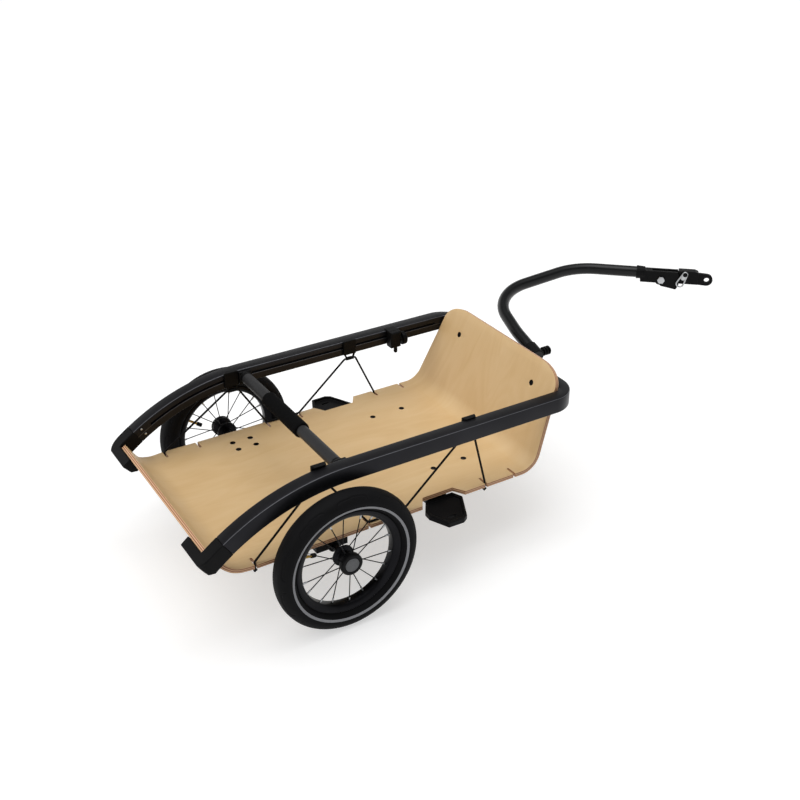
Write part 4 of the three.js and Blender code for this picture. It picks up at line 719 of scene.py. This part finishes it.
# Foam: dead matte black with open cut cells about 0.5 mm across, drawn at 1.2 mm to show.
foam, tree, shader = finish_of("closed_cell_foam", "#090909", 0.97, Specular_IOR_Level=0.08)
noisy_surface(tree, shader, cells=800.0, shades=("#060606", "#0e0e0f"), relief=(0.5, 0.0004))
grip_end = [(-73, 12.15), (-73, 13.4), (-72.6, 14.6), (-71.6, 15.5), (-70, 15.95)]
grip_profile = grip_end[:]
grip_profile += [(-70 + 140 * k / 28, 15.98 - 0.12 * math.sin(math.pi * k / 28)) for k in range(1, 28)]
grip_profile += [(-along, radius) for along, radius in reversed(grip_end)]
vertices, faces = turned(grip_profile, place(BRACE["x"], GRIP_MIDDLE, BRACE["z"]), (0, 1, 0), 56)
for k, v in enumerate(vertices):
    out = Vector((v.x - core.x, 0, v.z - core.z))
    if out.length > 0.0145:
        dent = noise.noise(v * 38) * 0.35 + noise.noise(v * 120) * 0.12
        vertices[k] = v + out.normalized() * (min(dent, 0.02) / 1000)
grip = piece_from("foam_grip", vertices, faces, foam, "frame", "foam", ["brace_grip"], 50)
for side in ("left", "right"):
    moulded(f"brace_foot_{side}", f"brace_shoe_{side}", 0.7, 6)


# Cord clips and the accessory clamp: polyamide mouldings hooked over the rail's inner edge. The
# clamp has a round thumb knob and a short hanging pin.
for side in ("left", "right"):
    for end, clip_middle in zip(("rear", "front"), clips[side]):
        def short_hook(x, y, z):
            """The hook over the rail is a narrow tongue that reaches 5 mm on to its top."""
            if abs(y) > inner_y + 0.2:
                return clip_middle + (x - clip_middle) * 0.72, math.copysign(inner_y + 5, y), z
            return x, y, z

        moulded(f"cord_clip_{side}_{end}", f"rail_clip_{side}_{end}", 0.5, 3, short_hook)
moulded("clamp_body", "clamp_block", 0.7, 6)
moulded("clamp_pin", "clamp_peg", 0.5, 4)
moulded("clamp_knob", "clamp_thumb_knob", 0.6, 5)


# Under the tray: polyamide receivers for the axle pins with an aluminium beam between them, and a
# square aluminium cross-member that carries a shallow moulded step at each end.
for side in ("left", "right"):
    moulded(f"axle_receiver_{side}", f"axle_housing_{side}", 1.0, 4)
    moulded(f"side_step_{side}", f"step_plate_{side}", 0.8, 5)
    moulded(f"panel_mount_{side}", f"panel_wedge_{side}", 0.5, 3)
machined("axle_beam", "axle_cross_beam", anodised, 0.8)
machined("cross_member", "step_cross_member", anodised, 0.8)


# Wheels: 12 1/2 inch, a slick rubber tyre with bracket-shaped grooves on its shoulders and a grey
# reflective stripe outside, on a black anodised rim laced with eighteen black spokes.
WHEEL = {"z": 145, "y": 271.5}
# Tyre rubber: matte and a little dusty, its moulded skin about 0.3 mm and drawn at 1.4 mm to show.
rubber, tree, shader = finish_of("tyre_rubber", "#0b0b0c", 0.6, Specular_IOR_Level=0.1)
noisy_surface(tree, shader, broad=(16.0, 4.0), fine=(700.0, 2.0), shades=("#0a0a0b", "#121214"),
              steps=(0.3, 0.75), gloss=("broad", 0.58, 0.8), relief=(0.15, 0.0002))

# Reflective stripe: glass beads in grey ink, about 0.1 mm, drawn at 0.8 mm.
stripe_ink, tree, shader = finish_of("reflective_ink", "#8f9094", 0.5)
noisy_surface(tree, shader, cells=1200.0, shades=("#a3a4a8", "#7f8084"))

# Rim, hub and spokes: black anodised or e-coated, smoother and glossier than the rails.
gloss_black, tree, shader = finish_of("gloss_black_anodised", "#151517", 0.34, 0.85, Specular_IOR_Level=0.25)
noisy_surface(tree, shader, broad=(40.0, 3.0), shades=("#121214", "#1b1b1e"), gloss=("broad", 0.28, 0.42))

# Release button: grey polyamide with an eroded skin like that of the black mouldings, drawn at 1.4 mm.
grey_button, tree, shader = finish_of("grey_polyamide", "#5d5e60", 0.55)
noisy_surface(tree, shader, fine=(700.0, 2.0), shades=("#525355", "#6c6d6f"), relief=(0.3, 0.0002))

# Valve stem: turned brass with a fine thread, 0.8 mm from turn to turn and drawn at 2 mm to show.
brass, tree, shader = finish_of("turned_brass", "#b3903f", 0.28, 1.0)
where = add_node(tree, "ShaderNodeTexCoord")
thread = add_node(tree, "ShaderNodeTexWave", {"bands_direction": "X"},
                  {"Vector": where.outputs["Object"], "Scale": 160.0})
relief = add_node(tree, "ShaderNodeBump",
                  inputs={"Strength": 0.5, "Distance": 0.0003, "Height": thread.outputs["Fac"]})
tree.links.new(relief.outputs[0], shader.inputs["Normal"])


def wheel_ring(profile, centre, sides):
    """A closed profile of (radius, outboard distance) in millimetres, turned about the axle."""
    vertices, faces = [], []
    for j in range(sides):
        a = 2 * math.pi * j / sides
        vertices += [centre + Vector((r * math.cos(a), y, r * math.sin(a))) / 1000 for r, y in profile]
    count = len(profile)
    for j in range(sides):
        here, there = j * count, (j + 1) % sides * count
        for k in range(count):
            n = (k + 1) % count
            faces.append((here + k, here + n, there + n, there + k))
    return vertices, faces


def smooth_line(points, pieces):
    """A smooth line through points, in both directions of the plane."""
    line = []
    for k in range(len(points) - 1):
        p = [Vector(points[min(max(j, 0), len(points) - 1)]) for j in range(k - 1, k + 3)]
        for j in range(pieces):
            t = j / pieces
            squared = (p[0] * 2 - p[1] * 5 + p[2] * 4 - p[3]) * t * t
            cubed = (p[1] * 3 - p[0] - p[2] * 3 + p[3]) * t ** 3
            line.append(tuple(0.5 * (p[1] * 2 + (p[2] - p[0]) * t + squared + cubed)))
    return line + [tuple(points[-1])]


GROOVE = {"count": 10, "pitch": 88, "half": 1.2, "deep": 1.3, "shoulder": (132.5, 143.4)}
TYRE_SIDES = 600
GROOVE_LINE = [(8, 134.6), (9.5, 139.0), (14, 140.8), (38, 141.6), (42, 140.6), (62, 140.6), (68, 138.8),
               (70, 135.4)]


def to_groove(here):
    """How far a point of the shoulder, as (along, radius), lies from the middle line of a groove."""
    aways = []
    for start, end in zip(GROOVE_LINE, GROOVE_LINE[1:]):
        nearest, share = geometry.intersect_point_line(here, Vector(start), Vector(end))
        ends = min((here - Vector(start)).length, (here - Vector(end)).length)
        aways.append((here - nearest.xy).length if 0 <= share <= 1 else ends)
    return min(aways)


SPOKES = {"count": 18, "start": {"left": 0.004, "right": 0.192}, "foot": 17.2, "rim": 94, "at_flange": 12.5,
          "at_rim": 3.04}
for side, s in (("left", 1), ("right", -1)):
    hub_centre = place(0, s * WHEEL["y"], WHEEL["z"])
    body = f"wheel_{side}"
    flank = smooth_line([(102, 11.1), (108, 11.4), (109.5, 14.6), (114.9, 21.4), (124, 23.9), (132, 22.4),
                         (139.5, 17.0), (143.6, 10.0), (145, 0)], 14)
    flank = [p for k, p in enumerate(flank) if p[0] > 131 or k % 4 == 0]
    section = [(r, y * s) for r, y in flank] + [(r, -y * s) for r, y in reversed(flank[:-1])]
    bore_half = [(102, -7.6), (110, -14), (124, -19.6), (136, -15)]
    bore = bore_half + [(141.2, 0)] + [(r, -y) for r, y in reversed(bore_half)]
    vertices, faces = wheel_ring(section + [(r, y * s) for r, y in bore], hub_centre, TYRE_SIDES)
    # Grooves: ten brackets on each shoulder, 2.4 mm wide and 1.3 mm deep, their ends turned to the hub
    for k, v in enumerate(vertices):
        out = v - hub_centre
        radius = math.hypot(out.x, out.z) * 1000
        on_shoulder = GROOVE["shoulder"][0] <= radius <= GROOVE["shoulder"][1]
        if not on_shoulder or k % (len(section) + len(bore)) >= len(section):
            continue
        angle = math.atan2(out.z, out.x) + (math.pi / GROOVE["count"] if s * out.y < 0 else 0)
        along_groove = angle / (2 * math.pi) * GROOVE["count"] % 1.0 * GROOVE["pitch"]
        away = to_groove(Vector((along_groove, radius)))
        if away < GROOVE["half"]:
            inward = Vector((out.x, out.y * 0.9, out.z)).normalized()
            vertices[k] = v - inward * GROOVE["deep"] * (1 - (away / GROOVE["half"]) ** 2) / 1000
    piece_from(f"tyre_carcass_{side}", vertices, faces, rubber, body, "tyre", [f"tyre_{side}"], 50)
    stripe = [(116.2, 22.3), (120.8, 23.75), (120.8, 23.2), (116.2, 21.6)]
    band = wheel_ring([(r, (y + 0.1) * s) for r, y in stripe], hub_centre, 180)
    piece_from(f"reflective_stripe_{side}", *band, stripe_ink, body, "tyre")

    rim_half = [(94, 7.2), (94.6, 8.6), (96.5, 10.4), (99.5, 12.6), (102.5, 13.7), (104.2, 14),
                (106.9, 14), (107.4, 13.6), (107.4, 12.3), (106.9, 11.9), (102.4, 11.8), (101.7, 11.2)]
    rim_section = rim_half + [(r, -y) for r, y in reversed(rim_half)]
    hoop = wheel_ring(rim_section, hub_centre, 120)
    piece_from(f"rim_hoop_{side}", *hoop, gloss_black, body, "rim", [f"rim_{side}"])

    spokes, nipples = ([], []), ([], [])
    for k in range(SPOKES["count"]):
        angle = SPOKES["start"][side] + 2 * math.pi * k / SPOKES["count"]
        lean = (1 if k % 2 else -1) * s

        def along(r):
            out_share = (r - SPOKES["foot"]) / (SPOKES["rim"] - SPOKES["foot"])
            offset = SPOKES["at_flange"] + (SPOKES["at_rim"] - SPOKES["at_flange"]) * out_share
            return hub_centre + Vector((r * math.cos(angle), lean * offset, r * math.sin(angle))) / 1000

        for store, (a, b), radius in ((spokes, (SPOKES["foot"], 88), 1.0), (nipples, (86, 95), 1.9)):
            v, f = swept([along(a), along((a + b) / 2), along(b)],
                         (lambda t, r=radius: (r if t < 0.9 else r * 1.05) / 1000), 8)
            base = len(store[0])
            store[0].extend(v)
            store[1].extend(tuple(base + i for i in q) for q in f)
    piece_from(f"spokes_{side}", *spokes, gloss_black, body, "hub", sharp=60)
    piece_from(f"spoke_nipples_{side}", *nipples, zinc, body, "steel", sharp=60)

    hub_half = [(6.4, -16.5), (10.2, -16.5), (10.4, -16.3), (10.4, -14.5), (20.6, -14.5), (21.5, -13.8),
                (21.5, -11.2), (20.8, -10.5), (15, -9.4), (13, -7.5)]
    hub_section = hub_half + [(12.2, 0)] + [(r, -y) for r, y in reversed(hub_half)]
    collar = [(10.9, 14.8), (21.2, 14.8), (22, 15.6), (22, 20.4), (21.6, 21.6), (20.4, 22.5), (19, 22.8),
              (15, 22.8), (14.4, 22.5), (14.1, 21.9), (14.1, 16.8), (10.9, 16.8)]
    disc = [(0.05, 21.1), (13.8, 21.1), (13.8, 22.7), (13.3, 23.1), (11.6, 23.15), (11.2, 22.75),
            (10.6, 22.75), (10.2, 23.15), (5, 23.35), (0.05, 23.4)]
    for name, profile, finish, rider, slot, node in (
            ("hub_shell", hub_section, gloss_black, body, "hub", "hub"),
            ("hub_collar", collar, polyamide, body, "plastic", "hub_cap"),
            ("release_disc", disc, grey_button, f"button_{side}", "button", "release_button")):
        ring = wheel_ring([(r, y * s) for r, y in profile], hub_centre, 72)
        piece_from(f"{name}_{side}", *ring, finish, rider, slot, [f"{node}_{side}"])
    machined(f"axle_pin_{side}", f"axle_spindle_{side}", gloss_black, 0.3)
    machined(f"valve_stem_{side}", f"valve_tube_{side}", brass, 0.3)
    moulded(f"valve_cap_{side}", f"valve_dust_cap_{side}", 0.5, 3)


# Drawbar: a 26 mm steel tube bent three times in space, gloss black paint over a faint orange peel
# about 4 mm across. It slides into a polyamide socket on the front rail, where a ribbed pull knob locks it.
DRAWBAR = [(603, -38, 294.5), (617.7, 57.9, 309.7), (655.2, 206, 335.3), (891.3, 199.4, 353.2),
           (1007.6, 97, 352.2)]
DRAWBAR_BENDS = [265, 117, 140]
DRAWBAR_RADIUS = 0.013
paint, tree, shader = finish_of("gloss_black_paint", "#0c0d0e", 0.3, Specular_IOR_Level=0.25)
noisy_surface(tree, shader, broad=(18.0, 3.0), fine=(260.0, 2.0), shades=("#08090a", "#101113"),
              gloss=("broad", 0.24, 0.38), relief=(0.12, 0.0003))
bar_route = rounded_route(DRAWBAR, DRAWBAR_BENDS, 18)
tube = swept([place(*p) for p in bar_route], DRAWBAR_RADIUS, 40)
piece_from("drawbar_bent_tube", *tube, paint, "drawbar", "drawbar", ["drawbar_tube"], 50)
moulded("drawbar_socket", "drawbar_holder", 0.7, 5)
knob_profile = [(14.2, 0.1), (14.2, 3.0), (18.8, 3.0), (18.8, 6.0)]
rib = [(0.0, 6.2), (0.3, 9.2), (1.1, 9.9), (3.4, 9.9), (4.2, 9.2), (4.6, 6.2)]
for start in (18.9, 25.4, 31.9):
    knob_profile += [(start + along, radius) for along, radius in rib]
knob_profile += [(38.5, 6.0), (38.7, 5.6), (38.75, 0.1)]
knob = turned(knob_profile, place(604.65, -27.26, 296.2), (1, 0, 0), 48)
piece_from("pull_knob", *knob, polyamide, body_of_node["drawbar_knob"], "plastic", ["drawbar_knob"], 50)


# Hitch: a polyamide yoke on the end of the drawbar and a tongue pinned in it with a zinc-plated
# hexagon bolt and nut; the eye in the tongue's end goes on an axle. A steel snap hook hangs from its lug.
moulded("hitch_yoke", "hitch_fork", 0.7, 6)
moulded("hitch_tongue", "hitch_blade", 0.6, 4)
machined("hitch_bolt", "pivot_bolt", zinc, 0.5)
machined("hitch_nut", "pivot_nut", zinc, 0.5)
HOOK = {"along": 102, "side": -14.4, "up": 6, "lean": 0.4, "wire": 0.0018, "wide": 8.2, "narrow": 5.0,
        "long": 25.2}
hitch_way = Vector((DRAWBAR[-1][0] - DRAWBAR[-2][0], DRAWBAR[-1][1] - DRAWBAR[-2][1], 0)).normalized()
hitch_side = Vector((-hitch_way.y, hitch_way.x, 0))


def on_hook(along, side, down):
    """A point of the leaning hook, in millimetres from its lug; down is negative below the lug."""
    lean_x = along * math.cos(HOOK["lean"]) + down * math.sin(HOOK["lean"])
    lean_z = down * math.cos(HOOK["lean"]) - along * math.sin(HOOK["lean"])
    p = Vector(DRAWBAR[-1]) + hitch_way * (HOOK["along"] + lean_x) + hitch_side * (side + HOOK["side"])
    return place(*(p + Vector((0, 0, HOOK["up"] + lean_z))))


# The wire closes on itself in a pear, wide below; a pressed sleeve and gate cover its upper half
half_turn = [math.pi * k / 14 for k in range(15)]
pear = [(HOOK["wide"] * math.cos(math.pi + a), -HOOK["long"] + HOOK["wide"] * math.sin(math.pi + a))
        for a in half_turn]
pear += [(HOOK["narrow"] * math.cos(a), HOOK["narrow"] * math.sin(a)) for a in half_turn]
wire = [on_hook(x, 0, z) for x, z in smooth_line(pear + [pear[0]], 2)]
hook_body = body_of_node["safety_hook"]
piece_from("snap_hook", *swept(wire, HOOK["wire"], 12), zinc, hook_body, "steel", ["safety_hook"], 60)
sleeve_rings = []
for down, wide, thick in ((4.6, 1.2, 1.2), (4.2, 3.4, 2.0), (2.0, 5.6, 2.3), (-5, 6.4, 2.3), (-11, 6.2, 2.2),
                          (-14, 4.6, 2.0), (-15, 1.6, 1.2)):
    sleeve_rings.append([on_hook(wide * math.cos(a), thick * math.sin(a), down)
                         for a in (2 * math.pi * k / 24 for k in range(24))])
piece_from("hook_sleeve", *loft(sleeve_rings), zinc, hook_body, "steel", (), 60)
